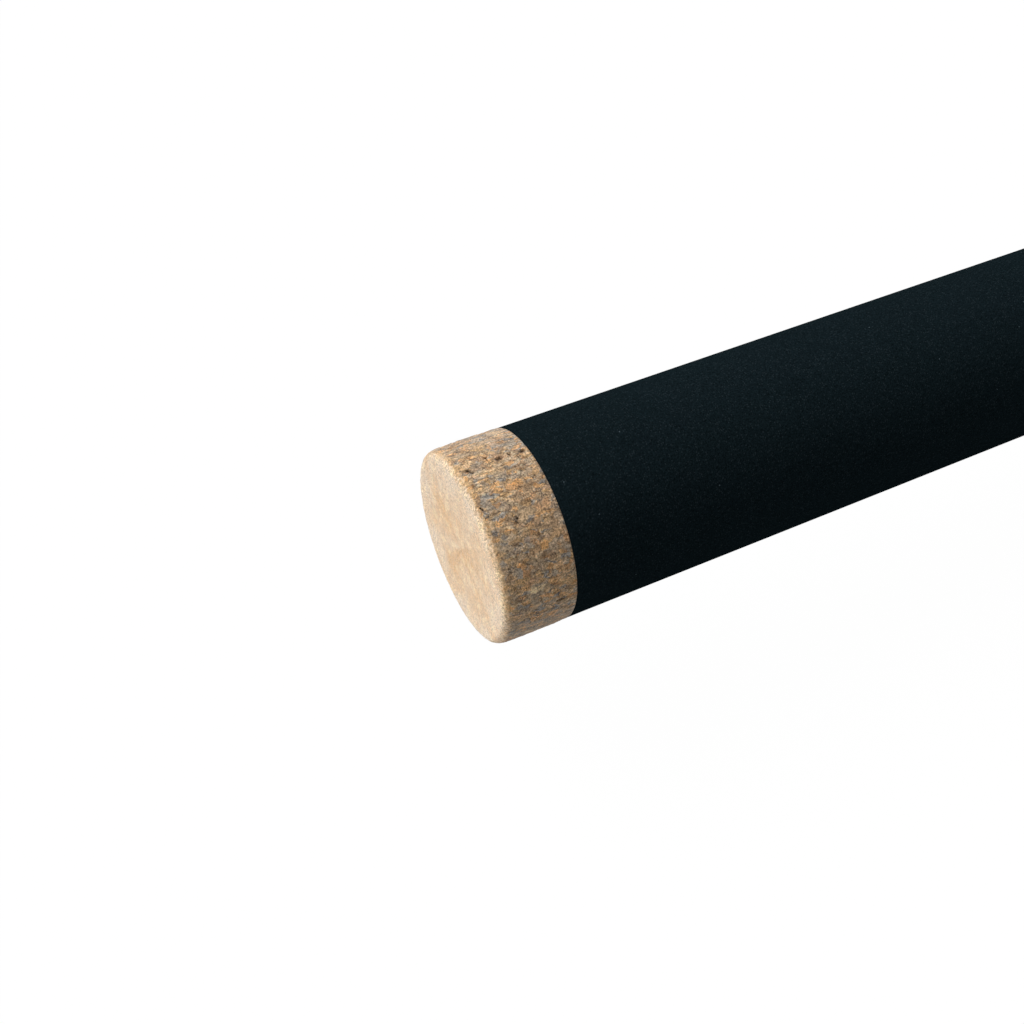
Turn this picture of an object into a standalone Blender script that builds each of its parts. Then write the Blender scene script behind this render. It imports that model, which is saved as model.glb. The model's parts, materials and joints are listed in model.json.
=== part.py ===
"""Three-piece float rod with a cork-capped foam handle, a keyed screw reel seat and ceramic ring guides.

The rod is put together and lies along +X. Its origin is the centre of the flat butt face, and the
reel and the guides hang towards -Z. Every size is in metres.

Pieces are modelled in the rod's own frame, which the empty rod_axis turns into the world: local +Z
runs along the rod from the butt to the tip, and local +X points at the side of the reel and guides.
A place along the rod is called a station.
"""

import math
from dataclasses import dataclass

import bmesh
import bpy
from mathutils import Matrix

# Clearances
GAP = 0.0003  # between pieces that seat in or on each other
FINE_GAP = 0.00015  # under windings and guide feet, and round the ring inserts

# Facets
GRIP_FACETS = 36
SEAT_FACETS = 32
ARCH_FACETS = 24
BLANK_FACETS = 16
RING_FACETS = 16

# Handle
GRIP_DIAMETER = 0.0265
CAP_LENGTH = 0.010
CAP_EDGE_RADIUS = 0.0011
CAP_RECESS = 0.005
REAR_GRIP_LENGTH = 0.362
REAR_GRIP_NECK_DIAMETER = 0.0240
REAR_GRIP_NECK_LENGTH = 0.045
FORE_GRIP_LENGTH = 0.085
FORE_GRIP_FRONT_DIAMETER = 0.0180
GRIP_EDGE_RADIUS = 0.0012
CHECK_DIAMETER = 0.0155
CHECK_LENGTH = 0.003

# Reel seat
BARREL_DIAMETER = 0.0210
BARREL_BORE = 0.0172
LAND_DEPTH = 0.0010  # how deep the flat that keys the hoods is milled
BED_DEPTH = 0.0003  # how much deeper the reel's foot lies, between the hoods
BED_MARGIN = 0.0005  # from the bed to each hood
HOOD_LENGTH = 0.022
HOOD_WALL = 0.0015
HOOD_LIP = 0.0015  # how far the arch stands out past the collar
HOOD_SLOPE = 0.012  # length over which the arch rises
POCKET_DEPTH = 0.0155
ARCH_TOP = 0.0178  # from the rod's axis to the top of the arch
ARCH_CENTRE = 0.0060
ARCH_HALF_WIDTH = 0.0122
NUT_DIAMETER = 0.0240
NUT_LENGTH = 0.014
NUT_SETBACK = 0.002
NUT_SHOULDER = 0.0035
NUT_CHAMFER = 0.0008
NUT_GROOVES = 16
NUT_GROOVE_RADIUS = 0.0013
NUT_GROOVE_DEPTH = 0.0008
REEL_SPACE = 0.056  # between the two hoods when the nut is fully back
ARBOR_LENGTH = 0.018
ARBOR_INSET = 0.006

# Blanks, each a tapered carbon tube
BUTT_SECTION_LENGTH = 1.235
MID_SECTION_LENGTH = 1.210
TIP_SECTION_LENGTH = 1.205
JOINT_SPACE = 0.005  # bare spigot that shows between two sections
BUTT_DIAMETER = 0.0136
LOWER_JOINT_DIAMETER = 0.0102
UPPER_JOINT_DIAMETER = 0.0062
TIP_DIAMETER = 0.0018
BUTT_WALL = 0.0011
LOWER_JOINT_WALL = 0.0009
UPPER_JOINT_WALL = 0.0007
SOLID_TIP_LENGTH = 0.420  # the spliced tip has no bore
SPIGOT_GLUED_LENGTH = 0.070
SPIGOT_FREE_LENGTH = 0.065
SPIGOT_NOSE = 0.0015

# Windings
WINDING_THICKNESS = 0.0004
WINDING_RAMP = 0.0012
FERRULE_WINDING_LENGTH = 0.026
FERRULE_WINDING_INSET = 0.002
WINDING_RUNOUT = 0.0025  # thread past the end of a guide foot

# Guides
BUTT_GUIDE_STATION = 1.000
BUTT_GUIDE_RING = 0.016
MID_GUIDE_RINGS = (0.012, 0.010, 0.008, 0.008)
MID_GUIDES_FIRST = 0.125  # from the section's butt end
MID_GUIDES_LAST = 0.171  # from the section's tip end
TIP_GUIDE_RINGS = (0.007, 0.006, 0.006, 0.006, 0.006, 0.006)
TIP_GUIDES_FIRST = 0.077
TIP_GUIDES_LAST = 0.159
GUIDE_SPACING_RATIO = 0.912  # each space between guides over the one before it
GUIDE_STAND = 0.004  # under the ring of a guide, before its size counts
GUIDE_STAND_RATIO = 0.8
GUIDE_REACH_RATIO = 0.5
BAND_THICKNESS = 0.0006
BAND_WIDTH = 0.0014
WIRE_BASE = 0.0006
WIRE_RATIO = 0.04
LEG_ANGLE = 40.0  # degrees either side of the band's lowest point
LEG_BOW = 0.12
INSERT_WALL_BASE = 0.0006
INSERT_WALL_RATIO = 0.07
INSERT_WIDTH_RATIO = 1.25
FOOT_LENGTH_BASE = 0.008
FOOT_LENGTH_RATIO = 0.5
FOOT_WIDTH_BASE = 0.0006
FOOT_WIDTH_RATIO = 0.1
FOOT_END_HEIGHT = 0.0003
TIP_TOP_RING = 0.006
TIP_TOP_STAND = 0.0050
TIP_TOP_REACH = 0.0040
TIP_TUBE_LENGTH = 0.010
TIP_TUBE_WALL = 0.0005
TIP_TUBE_END = 0.0008

# Folding keeper ring
KEEPER_DISTANCE = 0.040
KEEPER_WIRE = 0.0010
KEEPER_RING_DIAMETER = 0.0070
KEEPER_EYE_CLEARANCE = 0.0004
KEEPER_EYE_WALL = 0.0007
KEEPER_EYE_WIDTH = 0.0012
KEEPER_FOOT_LENGTH = 0.012
KEEPER_FOOT_WIDTH = 0.0020
KEEPER_FOOT_HEIGHT = 0.0008
KEEPER_WINDING_START = 0.0032

# Places along the rod that follow from the sizes
GRIP_RADIUS = GRIP_DIAMETER / 2
BARREL_RADIUS = BARREL_DIAMETER / 2
LAND_HEIGHT = BARREL_RADIUS - LAND_DEPTH
BED_HEIGHT = LAND_HEIGHT - BED_DEPTH
REAR_GRIP_START = CAP_LENGTH + GAP
SEAT_START = REAR_GRIP_START + REAR_GRIP_LENGTH + GAP
NUT_START = SEAT_START + NUT_SETBACK
SLIDING_HOOD_START = NUT_START + NUT_LENGTH + GAP
REEL_SPACE_START = SLIDING_HOOD_START + HOOD_LENGTH
FIXED_HOOD_START = REEL_SPACE_START + REEL_SPACE
SEAT_END = FIXED_HOOD_START + HOOD_LENGTH
SEAT_LENGTH = SEAT_END - SEAT_START
FORE_GRIP_START = SEAT_END + GAP
CHECK_START = FORE_GRIP_START + FORE_GRIP_LENGTH + GAP
KEEPER_STATION = CHECK_START + CHECK_LENGTH + KEEPER_DISTANCE
MID_START = BUTT_SECTION_LENGTH + JOINT_SPACE
MID_END = MID_START + MID_SECTION_LENGTH
TIP_START = MID_END + JOINT_SPACE
TIP_END = TIP_START + TIP_SECTION_LENGTH

PARTS = "Float rod"
CUTTERS = "Cutters"


def blend(first, last, share):
    """The value that lies a share of the way from first to last."""
    return first + (last - first) * share


def eased(share):
    """A share from 0 to 1 that starts and ends gently."""
    return 0.5 - 0.5 * math.cos(math.pi * share)


@dataclass(frozen=True)
class Blank:
    """A tapered carbon tube between two stations."""

    start: float
    end: float
    start_diameter: float
    end_diameter: float
    start_wall: float
    end_wall: float

    def share(self, station):
        return (station - self.start) / (self.end - self.start)

    def outer(self, station):
        return blend(self.start_diameter, self.end_diameter, self.share(station)) / 2

    def bore(self, station):
        return self.outer(station) - blend(self.start_wall, self.end_wall, self.share(station))


BUTT_BLANK = Blank(
    CAP_LENGTH - CAP_RECESS + GAP,
    BUTT_SECTION_LENGTH,
    BUTT_DIAMETER,
    LOWER_JOINT_DIAMETER,
    BUTT_WALL,
    LOWER_JOINT_WALL,
)
MID_BLANK = Blank(
    MID_START,
    MID_END,
    LOWER_JOINT_DIAMETER,
    UPPER_JOINT_DIAMETER,
    LOWER_JOINT_WALL,
    UPPER_JOINT_WALL,
)
TIP_BLANK = Blank(
    TIP_START,
    TIP_END,
    UPPER_JOINT_DIAMETER,
    TIP_DIAMETER,
    UPPER_JOINT_WALL,
    UPPER_JOINT_WALL * TIP_DIAMETER / UPPER_JOINT_DIAMETER,
)


def clear_scene():
    """Remove every object, so that the script can be run again, and make the two collections."""
    for obj in list(bpy.data.objects):
        bpy.data.objects.remove(obj, do_unlink=True)
    for name in (PARTS, CUTTERS):
        collection = bpy.data.collections.get(name) or bpy.data.collections.new(name)
        if name not in bpy.context.scene.collection.children:
            bpy.context.scene.collection.children.link(collection)


def finish(name, colour, roughness, metallic=0.0):
    """A Principled material of one plain colour, given in linear values."""
    material = bpy.data.materials.get(name) or bpy.data.materials.new(name)
    material.use_nodes = True
    shader = material.node_tree.nodes["Principled BSDF"]
    shader.inputs["Base Color"].default_value = (*colour, 1.0)
    shader.inputs["Roughness"].default_value = roughness
    shader.inputs["Metallic"].default_value = metallic
    material.diffuse_color = (*colour, 1.0)
    return material


def carrier(name, parent=None, station=0.0):
    """An empty that carries pieces at a station of its parent."""
    empty = bpy.data.objects.new(name, None)
    empty.empty_display_size = 0.02
    empty.parent = parent
    empty.location = (0.0, 0.0, station)
    bpy.data.collections[PARTS].objects.link(empty)
    return empty


def placed(name, mesh, parent, place, material=None):
    """A mesh object on a carrier: a part if it has a material, and a hidden cutter if it has none."""
    obj = bpy.data.objects.new(name, mesh)
    obj.parent = parent
    obj.location = place
    if material:
        mesh.materials.append(material)
        bpy.data.collections[PARTS].objects.link(obj)
    else:
        obj.hide_render = True
        obj.display_type = "WIRE"
        bpy.data.collections[CUTTERS].objects.link(obj)
    return obj


def mesh_of(shape, name):
    """Turn a bmesh into a mesh with its faces pointing out."""
    bmesh.ops.recalc_face_normals(shape, faces=shape.faces)
    mesh = bpy.data.meshes.new(name)
    shape.to_mesh(mesh)
    shape.free()
    mesh.shade_smooth()
    mesh.set_sharp_from_angle(angle=math.radians(35))
    return mesh


def turned(name, outline, facets, parent, place, material=None):
    """A turned piece. The outline's (radius, height) points run down the outer side and up the bore."""
    mesh = bpy.data.meshes.new(name)
    points = [(radius, 0.0, height) for radius, height in outline]
    edges = [(i, i + 1) for i in range(len(points) - 1)]
    if min(radius for radius, _ in outline) > 0:
        edges.append((len(points) - 1, 0))
    mesh.from_pydata(points, edges, [])
    obj = placed(name, mesh, parent, place, material)
    screw = obj.modifiers.new("Turn", "SCREW")
    screw.steps = screw.render_steps = facets
    screw.use_merge_vertices = True
    screw.merge_threshold = 0.00001
    return obj


def hollow(outer, bore):
    """Outline of a tube from its outer side and its bore, both listed upwards."""
    return list(reversed(outer)) + list(bore)


def arc(centre, radius, start, end, steps):
    """Points on an arc in the outline's plane, from one angle in degrees to another."""
    angles = [math.radians(blend(start, end, i / steps)) for i in range(steps + 1)]
    return [(centre[0] + radius * math.cos(a), centre[1] + radius * math.sin(a)) for a in angles]


def combine(obj, other, operation):
    """Cut another object out of this one, or join it on, with an exact Boolean."""
    modifier = obj.modifiers.new(f"{operation.title()} {other.name}", "BOOLEAN")
    modifier.operation = operation
    modifier.object = other


def rod_along(name, radius, length, facets, parent, place):
    """A plain round cutter along the rod."""
    shape = bmesh.new()
    bmesh.ops.create_cone(
        shape,
        cap_ends=True,
        segments=facets,
        radius1=radius,
        radius2=radius,
        depth=length,
        matrix=Matrix.Translation((0, 0, length / 2)),
    )
    return placed(name, mesh_of(shape, name), parent, place)


def keyed_cylinder(radius, land, length, name):
    """Mesh of a cylinder with one flat land along its +X side."""
    shape = bmesh.new()
    bmesh.ops.create_cone(
        shape,
        cap_ends=True,
        segments=SEAT_FACETS,
        radius1=radius,
        radius2=radius,
        depth=length,
        matrix=Matrix.Translation((0, 0, length / 2)),
    )
    everything = shape.verts[:] + shape.edges[:] + shape.faces[:]
    bmesh.ops.bisect_plane(
        shape, geom=everything, plane_co=(land, 0, 0), plane_no=(1, 0, 0), clear_outer=True
    )
    bmesh.ops.holes_fill(shape, edges=[edge for edge in shape.edges if edge.is_boundary])
    return mesh_of(shape, name)


def loft(stations, facets, name):
    """Closed mesh through ellipses, each given as (height, centre, half height, half width)."""
    shape = bmesh.new()
    rings = []
    for height, centre, half_x, half_y in stations:
        matrix = Matrix.Translation((centre, 0, height)) @ Matrix.Diagonal((half_x, half_y, 1, 1))
        ring = bmesh.ops.create_circle(shape, segments=facets, radius=1.0, matrix=matrix)
        rings.append(list({edge for vert in ring["verts"] for edge in vert.link_edges}))
    for lower, upper in zip(rings, rings[1:]):
        bmesh.ops.bridge_loops(shape, edges=lower + upper)
    bmesh.ops.holes_fill(shape, edges=rings[0] + rings[-1])
    return mesh_of(shape, name)


def wires(name, paths, diameter, parent, place):
    """Round wires along lists of points, each made a closed mesh for a Boolean."""
    curve = bpy.data.curves.new(name, "CURVE")
    curve.dimensions = "3D"
    curve.bevel_depth = diameter / 2
    curve.bevel_resolution = 1
    curve.use_fill_caps = True
    for points in paths:
        spline = curve.splines.new("POLY")
        spline.points.add(len(points) - 1)
        for knot, point in zip(spline.points, points):
            knot.co = (*point, 1.0)
    bent = bpy.data.objects.new(f"{name}_curve", curve)
    bpy.data.collections[CUTTERS].objects.link(bent)
    evaluated = bent.evaluated_get(bpy.context.evaluated_depsgraph_get())
    mesh = bpy.data.meshes.new_from_object(evaluated)
    bpy.data.objects.remove(bent)
    bpy.data.curves.remove(curve)
    shape = bmesh.new()
    shape.from_mesh(mesh)
    bmesh.ops.remove_doubles(shape, verts=shape.verts, dist=0.000001)
    bpy.data.meshes.remove(mesh)
    return placed(name, mesh_of(shape, name), parent, place)


def strip(name, start, end, floor, start_top, end_top, width, parent, place):
    """A strip along the rod whose top slopes from start_top to end_top."""
    shape = bmesh.new()
    bmesh.ops.create_cube(shape, size=1.0)
    for vert in shape.verts:
        far = vert.co.z > 0
        top = end_top if far else start_top
        vert.co.x = top if vert.co.x > 0 else floor
        vert.co.y *= width
        vert.co.z = end if far else start
    return placed(name, mesh_of(shape, name), parent, place)


def make_butt_cap(section, cork):
    """Composite cork disc with a recess for the end of the blank."""
    recess_floor = CAP_LENGTH - CAP_RECESS
    recess = BUTT_BLANK.outer(BUTT_BLANK.start) + GAP
    edge = CAP_EDGE_RADIUS
    outline = [(0, recess_floor), (recess, recess_floor), (recess, CAP_LENGTH), (GRIP_RADIUS, CAP_LENGTH)]
    outline += arc((GRIP_RADIUS - edge, edge), edge, 0, -90, 3)
    outline.append((0, 0))
    turned("butt_cap", outline, GRIP_FACETS, section, (0, 0, 0), cork)


def make_rear_grip(section, foam):
    """Straight foam grip that draws in to the reel seat."""
    neck = REAR_GRIP_NECK_DIAMETER / 2
    neck_start = REAR_GRIP_LENGTH - REAR_GRIP_NECK_LENGTH
    edge = GRIP_EDGE_RADIUS
    outer = [(GRIP_RADIUS, 0)]
    for i in range(6):
        share = i / 5
        height = blend(neck_start, REAR_GRIP_LENGTH - edge, share)
        outer.append((blend(GRIP_RADIUS, neck, eased(share)), height))
    outer += arc((neck - edge, REAR_GRIP_LENGTH - edge), edge, 0, 90, 2)[1:]
    bore = [
        (BUTT_BLANK.outer(REAR_GRIP_START) + GAP, 0),
        (BUTT_BLANK.outer(REAR_GRIP_START + REAR_GRIP_LENGTH) + GAP, REAR_GRIP_LENGTH),
    ]
    turned("rear_grip", hollow(outer, bore), GRIP_FACETS, section, (0, 0, REAR_GRIP_START), foam)


def make_fore_grip(section, foam):
    """Foam grip that tapers from the fixed hood to the winding check."""
    back = REAR_GRIP_NECK_DIAMETER / 2
    front = FORE_GRIP_FRONT_DIAMETER / 2
    edge = GRIP_EDGE_RADIUS
    outer = arc((back - edge, edge), edge, -90, 0, 2)
    for i in range(1, 6):
        share = i / 5
        outer.append((blend(back, front, eased(share)), blend(edge, FORE_GRIP_LENGTH - edge, share)))
    outer += arc((front - edge, FORE_GRIP_LENGTH - edge), edge, 0, 90, 2)[1:]
    bore = [
        (BUTT_BLANK.outer(FORE_GRIP_START) + GAP, 0),
        (BUTT_BLANK.outer(FORE_GRIP_START + FORE_GRIP_LENGTH) + GAP, FORE_GRIP_LENGTH),
    ]
    turned("fore_grip", hollow(outer, bore), GRIP_FACETS, section, (0, 0, FORE_GRIP_START), foam)


def make_winding_check(section, alloy):
    """Metal ring that finishes the fore grip."""
    radius = CHECK_DIAMETER / 2
    round_off = CHECK_LENGTH / 3
    outer = [(radius, 0), (radius, CHECK_LENGTH - round_off)]
    outer += arc((radius - round_off, CHECK_LENGTH - round_off), round_off, 0, 90, 2)[1:]
    bore = [
        (BUTT_BLANK.outer(CHECK_START) + GAP, 0),
        (BUTT_BLANK.outer(CHECK_START + CHECK_LENGTH) + GAP, CHECK_LENGTH),
    ]
    turned("winding_check", hollow(outer, bore), BLANK_FACETS, section, (0, 0, CHECK_START), alloy)


def make_barrel(section, graphite):
    """Seat barrel: a tube with a milled land that keys the hoods and a bed in it for the reel foot."""
    mesh = keyed_cylinder(BARREL_RADIUS, LAND_HEIGHT, SEAT_LENGTH, "seat_barrel")
    barrel = placed("seat_barrel", mesh, section, (0, 0, SEAT_START), graphite)
    bore = rod_along(
        "barrel_bore",
        BARREL_BORE / 2,
        SEAT_LENGTH * 1.2,
        BLANK_FACETS,
        section,
        (0, 0, SEAT_START - SEAT_LENGTH * 0.1),
    )
    combine(barrel, bore, "DIFFERENCE")
    bed = strip(
        "reel_bed",
        REEL_SPACE_START + BED_MARGIN,
        FIXED_HOOD_START - BED_MARGIN,
        BED_HEIGHT,
        BARREL_DIAMETER,
        BARREL_DIAMETER,
        BARREL_DIAMETER,
        section,
        (0, 0, 0),
    )
    combine(barrel, bed, "DIFFERENCE")


def make_arbor(name, start, section, foam):
    """Ring that centres the barrel on the blank."""
    radius = BARREL_BORE / 2 - GAP
    outer = [(radius, 0), (radius, ARBOR_LENGTH)]
    bore = [
        (BUTT_BLANK.outer(start) + GAP, 0),
        (BUTT_BLANK.outer(start + ARBOR_LENGTH) + GAP, ARBOR_LENGTH),
    ]
    turned(name, hollow(outer, bore), BLANK_FACETS, section, (0, 0, start), foam)


def make_hood(name, start, facing, section, metal):
    """Reel hood: a collar keyed to the barrel, with an arched pocket that opens along facing."""
    place = (0, 0, start + (0 if facing > 0 else HOOD_LENGTH))
    collar_radius = BARREL_RADIUS + GAP + HOOD_WALL
    collar_length = HOOD_LENGTH - HOOD_LIP
    chamfer = HOOD_WALL / 3
    outline = [
        (0, collar_length),
        (collar_radius - chamfer, collar_length),
        (collar_radius, collar_length - chamfer),
        (collar_radius, chamfer),
        (collar_radius - chamfer, 0),
        (0, 0),
    ]
    if facing < 0:
        outline = [(radius, -height) for radius, height in reversed(outline)]
    collar = turned(name, outline, SEAT_FACETS, section, place, metal)

    def arch(label, heights, inset):
        """An arched solid through the given heights, inset from the hood's outside."""
        low = collar_radius - chamfer
        stations = []
        for height in heights:
            rise = eased(min(max((height - HOOD_WALL) / HOOD_SLOPE, 0.0), 1.0))
            centre = blend(0.0, ARCH_CENTRE, rise)
            half_height = blend(low, ARCH_TOP, rise) - inset - centre
            half_width = blend(low, ARCH_HALF_WIDTH, rise) - inset
            stations.append((facing * height, centre, half_height, half_width))
        return placed(label, loft(stations, ARCH_FACETS, label), section, place)

    slope = [HOOD_WALL + HOOD_SLOPE * share for share in (0.0, 0.35, 0.65, 1.0)]
    combine(collar, arch(f"{name}_arch", [*slope, HOOD_LENGTH], 0.0), "UNION")
    pocket_back = HOOD_LENGTH - POCKET_DEPTH
    heights = [pocket_back, *[height for height in slope if height > pocket_back]]
    pocket = arch(f"{name}_pocket", [*heights, HOOD_LENGTH + HOOD_LIP], HOOD_WALL)
    combine(collar, pocket, "DIFFERENCE")
    bore_length = HOOD_LENGTH * 1.5
    bore_mesh = keyed_cylinder(BARREL_RADIUS + GAP, LAND_HEIGHT + GAP, bore_length, f"{name}_bore")
    bore_place = (0, 0, start - HOOD_LENGTH * 0.25)
    combine(collar, placed(f"{name}_bore", bore_mesh, section, bore_place), "DIFFERENCE")


def make_lock_nut(section, alloy):
    """Ribbed nut that drives the sliding hood."""
    radius = NUT_DIAMETER / 2
    place = (0, 0, NUT_START)
    outer = [
        (radius - NUT_CHAMFER, 0),
        (radius, NUT_CHAMFER),
        (radius, NUT_LENGTH - NUT_CHAMFER),
        (radius - NUT_CHAMFER, NUT_LENGTH),
    ]
    bore_radius = (BARREL_RADIUS + GAP) / math.cos(math.pi / SEAT_FACETS)
    bore = [(bore_radius, 0), (bore_radius, NUT_LENGTH)]
    nut = turned("lock_nut", hollow(outer, bore), SEAT_FACETS, section, place, alloy)
    shape = bmesh.new()
    distance = radius + NUT_GROOVE_RADIUS - NUT_GROOVE_DEPTH
    length = NUT_LENGTH - NUT_SHOULDER
    for i in range(NUT_GROOVES):
        turn = Matrix.Rotation(math.tau * i / NUT_GROOVES, 4, "Z")
        bmesh.ops.create_cone(
            shape,
            cap_ends=True,
            segments=6,
            radius1=NUT_GROOVE_RADIUS,
            radius2=NUT_GROOVE_RADIUS,
            depth=length,
            matrix=turn @ Matrix.Translation((distance, 0, length / 2 - NUT_CHAMFER)),
        )
    combine(nut, placed("nut_grooves", mesh_of(shape, "nut_grooves"), section, place), "DIFFERENCE")


def make_blank(name, blank, bore_end, section, carbon):
    """Tapered tube. A bore that stops short of the end closes in a cone."""
    base = blank.start
    outer = [
        (blank.outer(blank.start), 0),
        (blank.outer(blank.end), blank.end - base),
    ]
    if bore_end < blank.end:
        bore_radius = blank.bore(bore_end)
        outline = [(0, outer[1][1])] + list(reversed(outer))
        outline += [
            (blank.bore(blank.start), 0),
            (bore_radius, bore_end - base),
            (0, bore_end - base + bore_radius),
        ]
    else:
        bore = [(blank.bore(blank.start), 0), (blank.bore(blank.end), blank.end - base)]
        outline = hollow(outer, bore)
    turned(name, outline, BLANK_FACETS, section, (0, 0, base), carbon)


def make_spigot(name, lower, upper, section, carbon):
    """Solid spigot glued into the lower blank, which the upper blank pushes on to."""
    start = lower.end - SPIGOT_GLUED_LENGTH
    end = upper.start + SPIGOT_FREE_LENGTH
    nose = upper.bore(end) - GAP - SPIGOT_NOSE / 2
    outline = [
        (0, end - start),
        (nose, end - start),
        (upper.bore(end) - GAP, end - start - SPIGOT_NOSE),
        (upper.bore(upper.start) - GAP, upper.start - start),
        (lower.bore(lower.end) - GAP, lower.end - start),
        (lower.bore(lower.end) - GAP, 0),
        (0, 0),
    ]
    turned(name, outline, BLANK_FACETS, section, (0, 0, start), carbon)


def make_ferrule_winding(name, blank, start, section, thread):
    """Thread winding that strengthens the end of a blank."""
    outer = []
    for height, thickness in (
        (0, WINDING_THICKNESS / 2),
        (WINDING_RAMP, WINDING_THICKNESS),
        (FERRULE_WINDING_LENGTH - WINDING_RAMP, WINDING_THICKNESS),
        (FERRULE_WINDING_LENGTH, WINDING_THICKNESS / 2),
    ):
        outer.append((blank.outer(start + height) + FINE_GAP + thickness, height))
    bore = [
        (blank.outer(start) + FINE_GAP, 0),
        (blank.outer(start + FERRULE_WINDING_LENGTH) + FINE_GAP, FERRULE_WINDING_LENGTH),
    ]
    turned(name, hollow(outer, bore), BLANK_FACETS, section, (0, 0, start), thread)


def make_foot_winding(name, blank, station, start, end, foot, section, thread):
    """Thread winding over a guide foot: an oval sleeve with a bore for the blank and a slot."""
    outside = []
    for height, thickness, foot_height in (
        (start, WINDING_THICKNESS / 2, foot.height),
        (start + WINDING_RAMP, WINDING_THICKNESS, foot.height),
        (foot.end, WINDING_THICKNESS, FOOT_END_HEIGHT + FINE_GAP),
        (end, WINDING_THICKNESS / 2, 0.0),
    ):
        skin = blank.outer(station + height) + FINE_GAP + thickness
        top = skin + foot_height + FINE_GAP
        outside.append((height, (top - skin) / 2, (top + skin) / 2, skin))
    place = (0, 0, station)
    winding = placed(name, loft(outside, BLANK_FACETS, name), section, place, thread)
    shape = bmesh.new()
    length = end - start + 2 * WINDING_RAMP
    bmesh.ops.create_cone(
        shape,
        cap_ends=True,
        segments=BLANK_FACETS,
        radius1=blank.outer(station + start) + FINE_GAP,
        radius2=blank.outer(station + end) + FINE_GAP,
        depth=length,
        matrix=Matrix.Translation((0, 0, start - WINDING_RAMP + length / 2)),
    )
    combine(winding, placed(f"{name}_bore", mesh_of(shape, name), section, place), "DIFFERENCE")
    slot = strip(
        f"{name}_slot",
        start - WINDING_RAMP,
        foot.end + FINE_GAP,
        0.0,
        foot.top_at(start - WINDING_RAMP) + FINE_GAP,
        foot.top_at(foot.end) + FINE_GAP,
        foot.width + 2 * FINE_GAP,
        section,
        place,
    )
    combine(winding, slot, "DIFFERENCE")


@dataclass(frozen=True)
class Foot:
    """The tapered foot of a guide, between two heights from the guide's ring."""

    start: float
    end: float
    floor: float
    height: float
    width: float

    def top_at(self, height):
        share = (height - self.start) / (self.end - self.start)
        return self.floor + blend(self.height, FOOT_END_HEIGHT, share)

    def solid(self, name, section, place):
        return strip(
            name,
            self.start,
            self.end,
            self.floor,
            self.floor + self.height,
            self.floor + FOOT_END_HEIGHT,
            self.width,
            section,
            place,
        )


def make_band(name, ring, centre, section, station, steel):
    """Round band that holds a ceramic ring."""
    inside = (ring / 2 + FINE_GAP) / math.cos(math.pi / RING_FACETS)
    outside = inside + BAND_THICKNESS
    outer = [(outside, -BAND_WIDTH / 2), (outside, BAND_WIDTH / 2)]
    bore = [(inside, -BAND_WIDTH / 2), (inside, BAND_WIDTH / 2)]
    return turned(name, hollow(outer, bore), RING_FACETS, section, (centre, 0, station), steel)


def make_insert(name, ring, centre, section, station, ceramic):
    """Ceramic ring with a rounded bore."""
    outside = ring / 2
    wall = INSERT_WALL_BASE + INSERT_WALL_RATIO * ring
    half_width = wall * INSERT_WIDTH_RATIO / 2
    outline = [
        (outside, half_width * 0.6),
        (outside, -half_width * 0.6),
        (outside - wall * 0.5, -half_width),
        (outside - wall, 0),
        (outside - wall * 0.5, half_width),
    ]
    turned(name, outline, RING_FACETS, section, (centre, 0, station), ceramic)


def leg_paths(ring, centre, end_height, end_station, spread):
    """The two legs from the lower flanks of a band to the foot, bowed a little outwards."""
    radius = ring / 2 + FINE_GAP + BAND_THICKNESS / 2
    angle = math.radians(LEG_ANGLE)
    paths = []
    for side in (-1, 1):
        top = (centre - radius * math.cos(angle), side * radius * math.sin(angle), 0.0)
        foot = (end_height, side * spread, end_station)
        bow = LEG_BOW * (top[0] - foot[0])
        middle = tuple(blend(a, b, 0.55) for a, b in zip(top, foot))
        paths.append([top, (middle[0], middle[1] + side * bow, middle[2]), foot])
    return paths


def make_guide(index, ring, blank, station, section, finishes):
    """Single-foot guide: a steel frame with its ceramic ring and the winding over its foot."""
    wire = WIRE_BASE + WIRE_RATIO * ring
    floor = blank.outer(station) + FINE_GAP
    stand = GUIDE_STAND + GUIDE_STAND_RATIO * ring
    centre = floor + stand
    reach = GUIDE_REACH_RATIO * stand
    foot = Foot(
        start=reach - wire,
        end=reach + FOOT_LENGTH_BASE + FOOT_LENGTH_RATIO * ring,
        floor=floor,
        height=wire,
        width=FOOT_WIDTH_BASE + FOOT_WIDTH_RATIO * ring,
    )
    frame = make_band(f"guide_{index}_frame", ring, centre, section, station, finishes["steel"])
    place = (0, 0, station)
    paths = leg_paths(ring, centre, floor + wire / 2, reach, foot.width / 3)
    legs = wires(f"guide_{index}_legs", paths, wire, section, place)
    combine(frame, legs, "UNION")
    combine(frame, foot.solid(f"guide_{index}_foot", section, place), "UNION")
    make_insert(f"guide_{index}_ring", ring, centre, section, station, finishes["ceramic"])
    make_foot_winding(
        f"guide_{index}_winding",
        blank,
        station,
        reach + wire,
        foot.end + WINDING_RUNOUT,
        foot,
        section,
        finishes["thread"],
    )


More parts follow.
